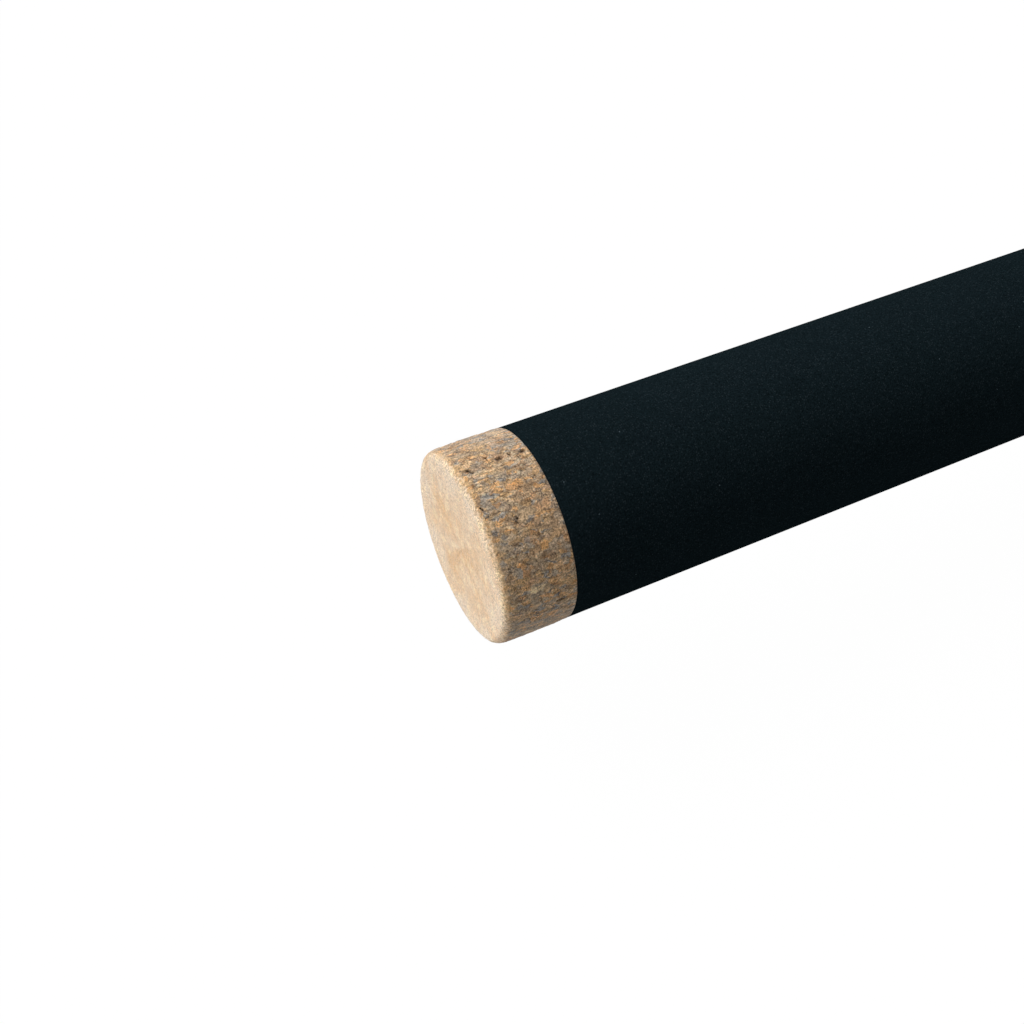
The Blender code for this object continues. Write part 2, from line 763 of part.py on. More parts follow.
def make_tip_top(section, finishes):
    """Tip-top: a closed tube over the end of the tip, with a ring on two legs."""
    bore = TIP_BLANK.outer(TIP_END) + FINE_GAP
    bore_open = TIP_BLANK.outer(TIP_END - TIP_TUBE_LENGTH) + FINE_GAP
    outside = bore_open + TIP_TUBE_WALL
    inside_end = TIP_TUBE_LENGTH + FINE_GAP
    length = inside_end + TIP_TUBE_END
    outline = [
        (0, length),
        (outside - TIP_TUBE_WALL / 2, length),
        (outside, length - TIP_TUBE_WALL / 2),
        (outside, 0),
        (bore_open, 0),
        (bore, inside_end),
        (0, inside_end),
    ]
    station = TIP_END + TIP_TOP_REACH
    tube_start = TIP_END - TIP_TUBE_LENGTH
    frame = turned(
        "tip_top_frame", outline, BLANK_FACETS, section, (0, 0, tube_start), finishes["steel"]
    )
    centre = outside + TIP_TOP_STAND
    band = make_band("tip_top_band", TIP_TOP_RING, centre, section, station, None)
    combine(frame, band, "UNION")
    wire = WIRE_BASE + WIRE_RATIO * TIP_TOP_RING
    paths = leg_paths(TIP_TOP_RING, centre, outside - wire / 4, -TIP_TOP_REACH, wire / 2 + GAP)
    combine(frame, wires("tip_top_legs", paths, wire, section, (0, 0, station)), "UNION")
    make_insert("tip_top_ring", TIP_TOP_RING, centre, section, station, finishes["ceramic"])


def make_keeper(section, finishes):
    """Folding keeper ring in the eye of a small bracket, wound on to the blank."""
    floor = BUTT_BLANK.outer(KEEPER_STATION) + FINE_GAP
    eye_bore = KEEPER_WIRE / 2 + KEEPER_EYE_CLEARANCE
    eye_radius = eye_bore + KEEPER_EYE_WALL
    eye_height = floor + eye_radius
    foot = Foot(
        start=eye_bore,
        end=KEEPER_FOOT_LENGTH,
        floor=floor,
        height=KEEPER_FOOT_HEIGHT,
        width=KEEPER_FOOT_WIDTH,
    )
    outer = [(eye_radius, -KEEPER_EYE_WIDTH / 2), (eye_radius, KEEPER_EYE_WIDTH / 2)]
    bore = [(eye_bore, -KEEPER_EYE_WIDTH / 2), (eye_bore, KEEPER_EYE_WIDTH / 2)]
    place = (eye_height, 0, KEEPER_STATION)
    bracket = turned(
        "keeper_bracket", hollow(outer, bore), RING_FACETS, section, place, finishes["steel"]
    )
    bracket.rotation_euler = (math.pi / 2, 0, 0)
    combine(bracket, foot.solid("keeper_foot", section, (0, 0, KEEPER_STATION)), "UNION")
    make_foot_winding(
        "keeper_winding",
        BUTT_BLANK,
        KEEPER_STATION,
        KEEPER_WINDING_START,
        foot.end + WINDING_RUNOUT,
        foot,
        section,
        finishes["thread"],
    )
    pivot = bpy.data.objects.new("keeper_pivot", None)
    pivot.empty_display_size = 0.01
    pivot.parent = section
    pivot.location = place
    bpy.data.collections[PARTS].objects.link(pivot)
    radius = KEEPER_RING_DIAMETER / 2
    outline = arc((radius, 0), KEEPER_WIRE / 2, 0, -360, 6)[:-1]
    turned("keeper_ring", outline, RING_FACETS, pivot, (radius, 0, 0), finishes["steel"])


def graded_stations(first, last, count):
    """Stations from first to last whose spaces shrink by the same ratio."""
    weights = [GUIDE_SPACING_RATIO**i for i in range(count - 1)]
    unit = (last - first) / sum(weights)
    stations = [first]
    for weight in weights:
        stations.append(stations[-1] + unit * weight)
    return stations


def make_finishes():
    """One material for each finish on the rod."""
    return {
        "cork": finish("composite cork", (0.55, 0.42, 0.31), 0.85),
        "foam": finish("foam grip", (0.006, 0.008, 0.009), 0.8),
        "carbon": finish("lacquered carbon", (0.012, 0.014, 0.016), 0.25),
        "graphite": finish("graphite seat", (0.015, 0.016, 0.018), 0.45),
        "hood": finish("anodised hood", (0.03, 0.03, 0.035), 0.3, 1.0),
        "alloy": finish("anodised alloy", (0.05, 0.055, 0.06), 0.35, 1.0),
        "steel": finish("polished steel", (0.35, 0.35, 0.37), 0.2, 1.0),
        "ceramic": finish("ceramic ring", (0.02, 0.02, 0.025), 0.15),
        "thread": finish("wound thread", (0.01, 0.012, 0.013), 0.2),
    }


def make_rod():
    """Build the three sections of the rod on their carriers."""
    clear_scene()
    finishes = make_finishes()
    axis = carrier("rod_axis")
    axis.rotation_euler = (0, math.pi / 2, 0)
    butt = carrier("butt_section", axis)
    mid = carrier("mid_section", butt)
    tip = carrier("tip_section", mid)

    make_butt_cap(butt, finishes["cork"])
    make_rear_grip(butt, finishes["foam"])
    make_barrel(butt, finishes["graphite"])
    make_arbor("seat_arbor_rear", SEAT_START + ARBOR_INSET, butt, finishes["foam"])
    make_arbor("seat_arbor_front", SEAT_END - ARBOR_INSET - ARBOR_LENGTH, butt, finishes["foam"])
    make_lock_nut(butt, finishes["alloy"])
    make_hood("sliding_hood", SLIDING_HOOD_START, 1, butt, finishes["hood"])
    make_hood("fixed_hood", FIXED_HOOD_START, -1, butt, finishes["hood"])
    make_fore_grip(butt, finishes["foam"])
    make_winding_check(butt, finishes["alloy"])
    make_keeper(butt, finishes)

    make_blank("butt_blank", BUTT_BLANK, BUTT_BLANK.end, butt, finishes["carbon"])
    make_blank("mid_blank", MID_BLANK, MID_BLANK.end, mid, finishes["carbon"])
    make_blank("tip_blank", TIP_BLANK, TIP_END - SOLID_TIP_LENGTH, tip, finishes["carbon"])
    make_spigot("lower_spigot", BUTT_BLANK, MID_BLANK, butt, finishes["carbon"])
    make_spigot("upper_spigot", MID_BLANK, TIP_BLANK, mid, finishes["carbon"])
    tail = FERRULE_WINDING_INSET + FERRULE_WINDING_LENGTH
    for name, blank, start, section in (
        ("butt_ferrule_winding", BUTT_BLANK, BUTT_BLANK.end - tail, butt),
        ("mid_socket_winding", MID_BLANK, MID_START + FERRULE_WINDING_INSET, mid),
        ("mid_ferrule_winding", MID_BLANK, MID_END - tail, mid),
        ("tip_socket_winding", TIP_BLANK, TIP_START + FERRULE_WINDING_INSET, tip),
    ):
        make_ferrule_winding(name, blank, start, section, finishes["thread"])

    guides = [(BUTT_GUIDE_RING, BUTT_BLANK, BUTT_GUIDE_STATION, butt)]
    mid_stations = graded_stations(
        MID_START + MID_GUIDES_FIRST, MID_END - MID_GUIDES_LAST, len(MID_GUIDE_RINGS)
    )
    guides += [(ring, MID_BLANK, at, mid) for ring, at in zip(MID_GUIDE_RINGS, mid_stations)]
    tip_stations = graded_stations(
        TIP_START + TIP_GUIDES_FIRST, TIP_END - TIP_GUIDES_LAST, len(TIP_GUIDE_RINGS)
    )
    guides += [(ring, TIP_BLANK, at, tip) for ring, at in zip(TIP_GUIDE_RINGS, tip_stations)]
    for index, (ring, blank, station, section) in enumerate(guides, start=1):
        make_guide(index, ring, blank, station, section, finishes)
    make_tip_top(tip, finishes)


if __name__ == "__main__":
    make_rod()
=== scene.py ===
"""Looks of a three-piece float rod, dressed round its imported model.

The rod lies along +X from the butt to the tip, with its reel seat and guides towards -Z. A place along
it is called a station, and an angle round it runs from the reel's side. Sizes are in metres, and the
sizes of patterns in millimetres.
"""

import json
import logging
import math
from collections.abc import Callable, Iterable
from dataclasses import dataclass
from enum import Enum

import bmesh
import bpy
from mathutils import Matrix, Vector, noise


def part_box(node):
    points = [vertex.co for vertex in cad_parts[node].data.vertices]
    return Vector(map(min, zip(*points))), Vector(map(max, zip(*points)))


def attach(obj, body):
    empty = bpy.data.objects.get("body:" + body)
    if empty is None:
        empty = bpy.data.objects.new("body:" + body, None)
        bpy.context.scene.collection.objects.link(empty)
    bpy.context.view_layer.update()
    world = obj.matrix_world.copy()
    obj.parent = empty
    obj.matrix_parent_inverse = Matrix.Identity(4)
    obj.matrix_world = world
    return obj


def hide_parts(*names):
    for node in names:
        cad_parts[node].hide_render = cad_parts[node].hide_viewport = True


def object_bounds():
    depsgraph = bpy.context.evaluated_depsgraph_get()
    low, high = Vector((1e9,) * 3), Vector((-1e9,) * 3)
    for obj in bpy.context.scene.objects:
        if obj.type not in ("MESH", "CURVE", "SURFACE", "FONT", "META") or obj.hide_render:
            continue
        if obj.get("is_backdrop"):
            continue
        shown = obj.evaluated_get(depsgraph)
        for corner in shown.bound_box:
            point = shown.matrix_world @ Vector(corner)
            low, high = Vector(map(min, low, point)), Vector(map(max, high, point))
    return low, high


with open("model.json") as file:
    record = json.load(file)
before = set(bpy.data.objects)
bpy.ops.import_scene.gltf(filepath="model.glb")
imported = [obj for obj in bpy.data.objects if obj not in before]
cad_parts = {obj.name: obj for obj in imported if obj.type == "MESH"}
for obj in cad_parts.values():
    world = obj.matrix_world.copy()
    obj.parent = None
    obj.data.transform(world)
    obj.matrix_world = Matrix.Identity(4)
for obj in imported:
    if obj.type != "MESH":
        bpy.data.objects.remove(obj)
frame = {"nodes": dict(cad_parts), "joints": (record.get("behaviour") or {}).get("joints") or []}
cad_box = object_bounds()

log = logging.getLogger("float_rod")

MERGE_DISTANCE = 0.000002
# A slope as long as this stands for a sharp step in an outline.
STEP_LENGTH = 0.00002
SMOOTH_ANGLE = math.radians(38)
# Nearly all of a noise lies between these values.
NOISE_RANGE = (0.3, 0.7)

Outline = list[tuple[float, float]]
Wall = Callable[[float, float], float]
Range = tuple[float, float]
Rgba = tuple[float, float, float, float]


class Body(Enum):
    """The rod's bodies, each of which moves as one."""

    BUTT = "butt_section"
    MID = "mid_section"
    TIP = "tip_section"
    HOOD = "sliding_hood"
    NUT = "lock_nut"
    KEEPER = "keeper_ring"


def linear(code: str) -> Rgba:
    """Turn an sRGB colour into linear values.

    Args:
        code: The colour as six hex digits after a hash.

    Returns:
        Red, green, blue and an alpha of 1.
    """
    parts = [int(code[i : i + 2], 16) / 255 for i in (1, 3, 5)]
    red, green, blue = (p / 12.92 if p <= 0.04045 else ((p + 0.055) / 1.055) ** 2.4 for p in parts)
    return red, green, blue, 1.0


def per_metre(millimetres: float) -> float:
    """Texture scale of a pattern that repeats every so many millimetres."""
    return 1000.0 / millimetres


def blend(first: float, last: float, share: float) -> float:
    """The value that lies a share of the way from first to last."""
    return first + (last - first) * share


def eased(share: float) -> float:
    """A share, held between 0 and 1, that starts and ends gently."""
    return 0.5 - 0.5 * math.cos(math.pi * min(max(share, 0.0), 1.0))


def steps_between(first: float, last: float, spacing: float) -> list[float]:
    """Evenly spaced values from first to last.

    Args:
        first: The first value.
        last: The last value.
        spacing: About how far apart they lie.

    Returns:
        The values, both ends among them.
    """
    count = max(1, round(abs(last - first) / spacing))
    return [blend(first, last, i / count) for i in range(count + 1)]


def arc(centre: tuple[float, float], radius: float, start: float, end: float, steps: int) -> Outline:
    """Points on an arc of an outline.

    Args:
        centre: The arc's centre as station and radius.
        radius: The arc's own radius.
        start: First angle in degrees, where 0 points along the rod and 90 away from its axis.
        end: Last angle in degrees.
        steps: How many pieces the arc is cut into.

    Returns:
        The points from start to end.
    """
    angles = [math.radians(blend(start, end, i / steps)) for i in range(steps + 1)]
    return [(centre[0] + radius * math.cos(a), centre[1] + radius * math.sin(a)) for a in angles]


def output_of(value: object) -> bpy.types.NodeSocket | None:
    """Find the output that a node or socket stands for.

    Args:
        value: A node, an output or a plain value.

    Returns:
        The output, the first in use where a node was given, or None.
    """
    if isinstance(value, bpy.types.Node):
        return next(output for output in value.outputs if output.enabled)
    return value if isinstance(value, bpy.types.NodeSocket) else None


def fill_socket(tree: bpy.types.NodeTree, socket: bpy.types.NodeSocket, value: object) -> None:
    """Give a socket its value, its hex colour or its link.

    Args:
        tree: The tree that the socket is in.
        socket: The socket to fill.
        value: A value, hex colour, node or output, or None to leave the socket as it is.
    """
    output = output_of(value)
    if output:
        tree.links.new(output, socket)
    elif isinstance(value, str):
        socket.default_value = linear(value)[: len(socket.default_value)]
    elif value is not None:
        socket.default_value = value


def add_node(
    tree: bpy.types.NodeTree,
    kind: str,
    *values: object,
    stops: Iterable[tuple[float, str]] = (),
    **settings: object,
) -> bpy.types.Node:
    """Add a node to a tree with its settings and links.

    Args:
        tree: The tree of a material or world.
        kind: The node's type, without the ShaderNode that it starts with.
        values: Value, hex colour, node or output for each socket that is in use, in their order.
        stops: Places and hex colours of a colour ramp's stops.
        settings: The same for sockets by name, which has a capital, and the node's own properties.

    Returns:
        The new node.
    """
    node = tree.nodes.new(f"ShaderNode{kind}")
    for name, value in settings.items():
        if name.islower():
            setattr(node, name, value)
    sockets = [socket for socket in node.inputs if socket.enabled]
    for socket, value in zip(sockets, values):
        fill_socket(tree, socket, value)
    for name, value in settings.items():
        if not name.islower():
            fill_socket(tree, node.inputs[name.replace("_", " ")], value)
    for index, (place, code) in enumerate(stops):
        elements = node.color_ramp.elements
        stop = elements[index] if index < len(elements) else elements.new(place)
        stop.position = place
        stop.color = linear(code)
    return node


class Recipe:
    """A material under construction: its tree, its shader and its Object coordinates."""

    def __init__(self, name: str) -> None:
        """Start a material.

        Args:
            name: The material's name.
        """
        self.material = bpy.data.materials.new(name)
        self.material.use_nodes = True
        self.tree = self.material.node_tree
        self.shader = self.tree.nodes["Principled BSDF"]
        self.place = self.add("TexCoord").outputs["Object"]

    def add(
        self, kind: str, *values: object, stops: Iterable[tuple[float, str]] = (), **settings: object
    ) -> bpy.types.Node:
        """Add a node to the material's tree, as add_node does."""
        return add_node(self.tree, kind, *values, stops=stops, **settings)

    def spiral(self, pitch_mm: float) -> bpy.types.Node:
        """A wave from 0 to 1 that winds round the rod at a pitch.

        Args:
            pitch_mm: How far apart its turns lie, in millimetres.

        Returns:
            The node whose output is the wave.
        """
        along, across, up = self.add("SeparateXYZ", self.place).outputs
        angle = self.add("Math", across, up, operation="ARCTAN2")
        turns = self.add("Math", angle, math.tau, operation="DIVIDE")
        phase = self.add("Math", along, per_metre(pitch_mm), turns, operation="MULTIPLY_ADD")
        phase = self.add("Math", phase, math.tau, operation="MULTIPLY")
        wave = self.add("Math", phase, operation="SINE")
        return self.add("Math", wave, 0.5, 0.5, operation="MULTIPLY_ADD")

    def finish(self, **values: object) -> bpy.types.Material:
        """Fill the shader's sockets.

        Args:
            values: Value or link for each socket, by its name with underscores for spaces.

        Returns:
            The material.
        """
        for name, value in values.items():
            fill_socket(self.tree, self.shader.inputs[name.replace("_", " ")], value)
        return self.material


@dataclass(frozen=True)
class CompositeCork:
    """Ground cork pressed with a binder.

    Its side is dull and granular, and dusty where it turns away; its end is sanded pale and smooth.
    """

    slot: str = "cork"
    ground: str = "#bda283"
    face: str = "#e0cab0"
    face_warm: str = "#deb37e"
    rim: str = "#cfa878"
    speck: str = "#e6d3b0"
    ochre: str = "#cf9455"
    slate: str = "#80807f"
    fleck: str = "#bd9468"
    straw: str = "#f3deb2"
    # Dark brown of painted shade, for the gaps between granules and for the pits.
    crevice_shade: str = "#2f231b"
    granules: tuple[tuple[float, str], ...] = (
        (0.00, "#8f8d89"),
        (0.16, "#a3917a"),
        (0.32, "#c9a06c"),
        (0.46, "#86694f"),
        (0.60, "#bea07c"),
        (0.74, "#a39382"),
        (0.86, "#c08b58"),
        (1.00, "#dcc49c"),
    )
    granule_mm: float = 1.3
    small_granule_mm: float = 0.6
    push_mm: float = 0.9
    push_reach: float = 0.0012
    push_stretch: tuple[float, float, float] = (0.6, 1.1, 1.1)
    choice_mm: float = 1.6
    choice_range: Range = (0.42, 0.58)
    ground_share: float = 0.28
    ochre_chance: Range = (0.90, 1.0)
    slate_chance: Range = (0.02, 0.09)
    tint_share: float = 0.5
    grain_mm: float = 0.24
    grain_tone: Range = (0.25, 2.0)
    streak_mm: float = 0.5
    streak_tone: Range = (0.65, 1.45)
    streak_stretch: tuple[float, float, float] = (0.4, 1.3, 1.3)
    crevice_mm: float = 0.9
    crevice_width: float = 0.06
    crevice_shade_share: float = 0.8
    speck_mm: float = 0.4
    speck_size: Range = (0.2, 0.4)
    speck_chance: float = 0.88
    speck_share: float = 0.75
    rim_tone: Range = (0.5, 1.5)
    rim_granules: float = 0.45
    rim_starts: float = 0.00015
    rim_ends: float = 0.00065
    ragged_mm: float = 0.5
    ragged_reach: float = 0.0012
    face_ends: float = 0.00084
    face_fade: float = 0.00005
    face_roughness: float = 0.12
    face_granule_mm: float = 1.1
    face_granules: float = 0.13
    stain_mm: float = 4.5
    stain_range: Range = (0.4, 0.65)
    stain_share: float = 0.6
    warm_radius: Range = (0.0065, 0.0105)
    warm_share: float = 0.45
    fleck_mm: float = 1.6
    fleck_range: Range = (0.53, 0.66)
    fleck_share: float = 0.32
    straw_range: Range = (0.47, 0.36)
    straw_share: float = 0.45
    grainy_radius: Range = (0.0080, 0.0125)
    grainy_contrast: Range = (1.6, 3.6)
    relief: float = 0.00016

    def material(self) -> bpy.types.Material:
        """Build the material.

        Returns:
            The material, which darkens the pits with painted shade read from the attribute pit.
        """
        recipe = Recipe("composite cork")
        add, place = recipe.add, recipe.place
        grain = add("TexNoise", place, Scale=per_metre(self.grain_mm), Detail=3.0, Roughness=0.7)
        ragged = add("TexNoise", place, Scale=per_metre(self.ragged_mm), Detail=4.0, Roughness=0.7)
        shift = add("Math", ragged, 2 * self.ragged_reach, -self.ragged_reach, operation="MULTIPLY_ADD")
        edge = add("Math", add("SeparateXYZ", place), shift, operation="ADD")
        on_side = add("MapRange", edge, self.face_ends - self.face_fade, self.face_ends + self.face_fade)
        on_rim = add("MapRange", edge, self.rim_starts, self.rim_ends)
        bent = self.uneven(recipe)
        side = self.side_colour(recipe, grain, bent)
        tone = add("MapRange", grain, *NOISE_RANGE, *self.rim_tone)
        rim = add("VectorMath", self.rim, tone, operation="SCALE")
        rim = add("Mix", self.rim_granules, rim, side, data_type="RGBA")
        end = add("Mix", on_rim, self.face_colour(recipe, grain, bent), rim, data_type="RGBA")
        colour = add("Mix", on_side, end, side, data_type="RGBA")
        # Painted shade in the pits: the colour darkens towards dark brown as far as the attribute pit
        # says.
        pitted = add("Attribute", attribute_name="pit").outputs["Fac"]
        colour = add("Mix", pitted, colour, self.crevice_shade, data_type="RGBA")
        rough = add("MapRange", edge, 0.0, self.face_ends, self.face_roughness, 1.0)
        height = add("Math", grain, rough, operation="MULTIPLY")
        return recipe.finish(
            Base_Color=colour,
            Roughness=0.9,
            Specular_IOR_Level=0.2,
            Sheen_Weight=0.5,
            Sheen_Roughness=0.4,
            Normal=add("Bump", Height=height, Distance=self.relief, Strength=0.8),
        )

    def side_colour(
        self, recipe: Recipe, grain: bpy.types.Node, vector: bpy.types.Node
    ) -> bpy.types.Node:
        """Granules of two sizes, streaked and speckled, with painted shade in the gaps between them.

        Args:
            recipe: The cork's recipe.
            grain: The fine noise over the whole cap.
            vector: The coordinates that give granules uneven outlines.

        Returns:
            The node that gives the colour.
        """
        add = recipe.add
        layers = []
        for size_mm in (self.granule_mm, self.small_granule_mm):
            cells = add("TexVoronoi", vector, Scale=per_metre(size_mm))
            chance = add("SeparateXYZ", cells.outputs["Color"])
            layers.append(add("ValToRGB", chance, stops=self.granules))
        patches = add("TexNoise", recipe.place, Scale=per_metre(self.choice_mm), Detail=1.0)
        choice = add("MapRange", patches, *self.choice_range)
        mixed = add("Mix", choice, *layers, data_type="RGBA")
        colour = add("Mix", self.ground_share, mixed, self.ground, data_type="RGBA")
        for code, (low, high) in ((self.ochre, self.ochre_chance), (self.slate, self.slate_chance)):
            above = add("Math", chance, low, operation="GREATER_THAN")
            below = add("Math", chance, high, operation="LESS_THAN")
            chosen = add("Math", above, below, operation="MULTIPLY")
            share = add("Math", chosen, self.tint_share, operation="MULTIPLY")
            colour = add("Mix", share, colour, code, data_type="RGBA")
        along = add("Mapping", recipe.place, Scale=self.streak_stretch)
        streaks = add("TexNoise", along, Scale=per_metre(self.streak_mm), Detail=3.0)
        for pattern, tone in ((grain, self.grain_tone), (streaks, self.streak_tone)):
            factor = add("MapRange", pattern, *NOISE_RANGE, *tone)
            colour = add("VectorMath", colour, factor, operation="SCALE")
        # Painted shade in the gaps between granules, in the patches where they lie open.
        edges = add("TexVoronoi", vector, Scale=per_metre(self.crevice_mm), feature="DISTANCE_TO_EDGE")
        gap = add("MapRange", edges, 0.0, self.crevice_width, self.crevice_shade_share, 0.0)
        broken_gap_shade = add("Math", gap, choice, operation="MULTIPLY")
        colour = add("Mix", broken_gap_shade, colour, self.crevice_shade, data_type="RGBA")
        specks = add("TexVoronoi", vector, Scale=per_metre(self.speck_mm))
        chance = add("SeparateXYZ", specks.outputs["Color"])
        chosen = add("Math", chance, self.speck_chance, operation="GREATER_THAN")
        chosen = add("Math", chosen, self.speck_share, operation="MULTIPLY")
        near = add("MapRange", specks, *self.speck_size, 1.0, 0.0)
        spot = add("Math", chosen, near, operation="MULTIPLY")
        return add("Mix", spot, colour, self.speck, data_type="RGBA")

    def uneven(self, recipe: Recipe) -> bpy.types.Node:
        """Coordinates pushed about by noise, so that granules get uneven outlines.

        Args:
            recipe: The cork's recipe.

        Returns:
            The node that gives the coordinates.
        """
        add = recipe.add
        push = add("TexNoise", recipe.place, Scale=per_metre(self.push_mm), Detail=3.0).outputs["Color"]
        push = add("VectorMath", push, (0.5, 0.5, 0.5), operation="SUBTRACT")
        reach = (self.push_reach, self.push_reach, self.push_reach)
        bent = add("VectorMath", push, reach, recipe.place, operation="MULTIPLY_ADD")
        return add("Mapping", bent, Scale=self.push_stretch)

    def face_colour(
        self, recipe: Recipe, grain: bpy.types.Node, vector: bpy.types.Node
    ) -> bpy.types.Node:
        """Sanded end: softly stained, warm in the middle, and paler and grainier towards its rim.

        Args:
            recipe: The cork's recipe.
            grain: The fine noise over the whole cap.
            vector: The coordinates that give granules uneven outlines.

        Returns:
            The node that gives the colour.
        """
        add, place = recipe.add, recipe.place
        across = add("VectorMath", place, (0.0, 1.0, 1.0), operation="MULTIPLY")
        radius = add("VectorMath", across, operation="LENGTH")
        stain = add("TexNoise", place, Scale=per_metre(self.stain_mm), Detail=3.0, Roughness=0.55)
        stained = add("MapRange", stain, *self.stain_range, 0.0, self.stain_share)
        middle = add("MapRange", radius, *self.warm_radius, self.warm_share, 0.0)
        warmth = add("Math", stained, middle, operation="ADD")
        colour = add("Mix", warmth, self.face, self.face_warm, data_type="RGBA")
        cells = add("TexVoronoi", vector, Scale=per_metre(self.face_granule_mm))
        granules = add("ValToRGB", add("SeparateXYZ", cells.outputs["Color"]), stops=self.granules)
        colour = add("Mix", self.face_granules, colour, granules, data_type="RGBA")
        flecks = add("TexNoise", vector, Scale=per_metre(self.fleck_mm), Detail=2.0)
        share = add("MapRange", flecks, *self.fleck_range, 0.0, self.fleck_share)
        colour = add("Mix", share, colour, self.fleck, data_type="RGBA")
        share = add("MapRange", flecks, *self.straw_range, 0.0, self.straw_share)
        colour = add("Mix", share, colour, self.straw, data_type="RGBA")
        contrast = add("MapRange", radius, *self.grainy_radius, *self.grainy_contrast)
        centred = add("Math", grain, 0.5, operation="SUBTRACT")
        factor = add("Math", centred, contrast, 1.0, operation="MULTIPLY_ADD")
        return add("VectorMath", colour, factor, operation="SCALE")


@dataclass(frozen=True)
class EvaFoam:
    """Closed-cell EVA, ground to shape: nearly black and dull, with painted glints on its cut cells here
    and there.
    """

    slot: str = "eva_foam"
    colour: str = "#0f181b"
    pale: str = "#141e22"
    # Colour of the painted glints.
    glint: str = "#2d373c"
    dust: str = "#4a565c"
    cloud_mm: float = 9.0
    cloud_share: float = 0.6
    pale_range: Range = (0.35, 0.9)
    grain_mm: float = 0.2
    grain_tone: Range = (0.5, 1.5)
    cell_mm: float = 0.3
    glint_chance: float = 0.62
    glint_share: float = 0.6
    glint_size: Range = (0.2, 0.45)
    dust_mm: float = 3.2
    dust_size: Range = (0.02, 0.035)
    relief: float = 0.00004

    def material(self) -> bpy.types.Material:
        """Build the material.

        Returns:
            The material.
        """
        recipe = Recipe("ground EVA foam")
        add, place = recipe.add, recipe.place
        cells = add("TexVoronoi", place, Scale=per_metre(self.cell_mm))
        cloud = add("TexNoise", place, Scale=per_metre(self.cloud_mm), Detail=4.0, Roughness=0.6)
        tone = add("Math", cloud, self.cloud_share, cells, operation="MULTIPLY_ADD")
        share = add("MapRange", tone, *self.pale_range)
        colour = add("Mix", share, self.colour, self.pale, data_type="RGBA")
        grain = add("TexNoise", place, Scale=per_metre(self.grain_mm), Roughness=0.7)
        factor = add("MapRange", grain, *NOISE_RANGE, *self.grain_tone)
        colour = add("VectorMath", colour, factor, operation="SCALE")
        # Painted highlight: pale dots on some cells stand in for light glinting off cut cells.
        chance = add("SeparateXYZ", cells.outputs["Color"])
        cut = add("Math", chance, self.glint_chance, operation="GREATER_THAN")
        cut = add("Math", cut, self.glint_share, operation="MULTIPLY")
        near = add("MapRange", cells, *self.glint_size, 1.0, 0.0)
        glint = add("Math", cut, near, operation="MULTIPLY")
        colour = add("Mix", glint, colour, self.glint, data_type="RGBA")
        motes = add("TexVoronoi", place, Scale=per_metre(self.dust_mm))
        dusty = add("MapRange", motes, *self.dust_size, 1.0, 0.0)
        return recipe.finish(
            Base_Color=add("Mix", dusty, colour, self.dust, data_type="RGBA"),
            Roughness=0.9,
            Specular_IOR_Level=0.0,
            Normal=add("Bump", Height=cells, Distance=self.relief, Strength=0.6),
        )


@dataclass(frozen=True)
class LacqueredCarbon:
    """Carbon tube under clear lacquer: black and glossy, with fibres along it and a faint tape spiral.

    The lacquer and the resin below bend light alike, so nearly all of the gloss is the lacquer's own.
    """

    slot: str = "carbon_tube"
    colour: str = "#0d0f11"
    fibre: str = "#22262a"
    # Real fibres are 0.007 mm thick; they are drawn as coarse as bundles, so that they show.
    fibre_mm: float = 0.12
    fibre_stretch: float = 0.012
    fibre_range: Range = (0.35, 0.7)
    tape_mm: float = 2.6
    relief: float = 0.00002

    def material(self) -> bpy.types.Material:
        """Build the material.

        Returns:
            The material.
        """
        recipe = Recipe("lacquered carbon")
        along = recipe.add("Mapping", recipe.place, Scale=(self.fibre_stretch, 1.0, 1.0))
        fibres = recipe.add("TexNoise", along, Scale=per_metre(self.fibre_mm))
        share = recipe.add("MapRange", fibres, *self.fibre_range)
        tape = recipe.spiral(self.tape_mm)
        return recipe.finish(
            Base_Color=recipe.add("Mix", share, self.colour, self.fibre, data_type="RGBA"),
            Roughness=0.32,
            Specular_IOR_Level=0.1,
            Coat_Weight=0.5,
            Coat_Roughness=0.05,
            Normal=recipe.add("Bump", Height=tape, Distance=self.relief, Strength=0.5),
        )


@dataclass(frozen=True)
class GroundCarbon:
    """Bare carbon ground to fit its socket: dark grey and satin, with fine lines round it."""

    slot: str = "carbon_spigot"
    colour: str = "#1c1e20"
    line: str = "#34373a"
    # Real grinding marks are about 0.02 mm apart; they are drawn coarser, so that they show.
    line_mm: float = 0.08
    line_stretch: float = 0.03
    line_range: Range = (0.35, 0.7)
    relief: float = 0.00001

    def material(self) -> bpy.types.Material:
        """Build the material.

        Returns:
            The material.
        """
        recipe = Recipe("ground carbon")
        around = (1.0, self.line_stretch, self.line_stretch)
        vector = recipe.add("Mapping", recipe.place, Scale=around)
        lines = recipe.add("TexNoise", vector, Scale=per_metre(self.line_mm))
        share = recipe.add("MapRange", lines, *self.line_range)
        return recipe.finish(
            Base_Color=recipe.add("Mix", share, self.colour, self.line, data_type="RGBA"),
            Roughness=0.42,
            Specular_IOR_Level=0.3,
            Normal=recipe.add("Bump", Height=lines, Distance=self.relief, Strength=0.6),
        )


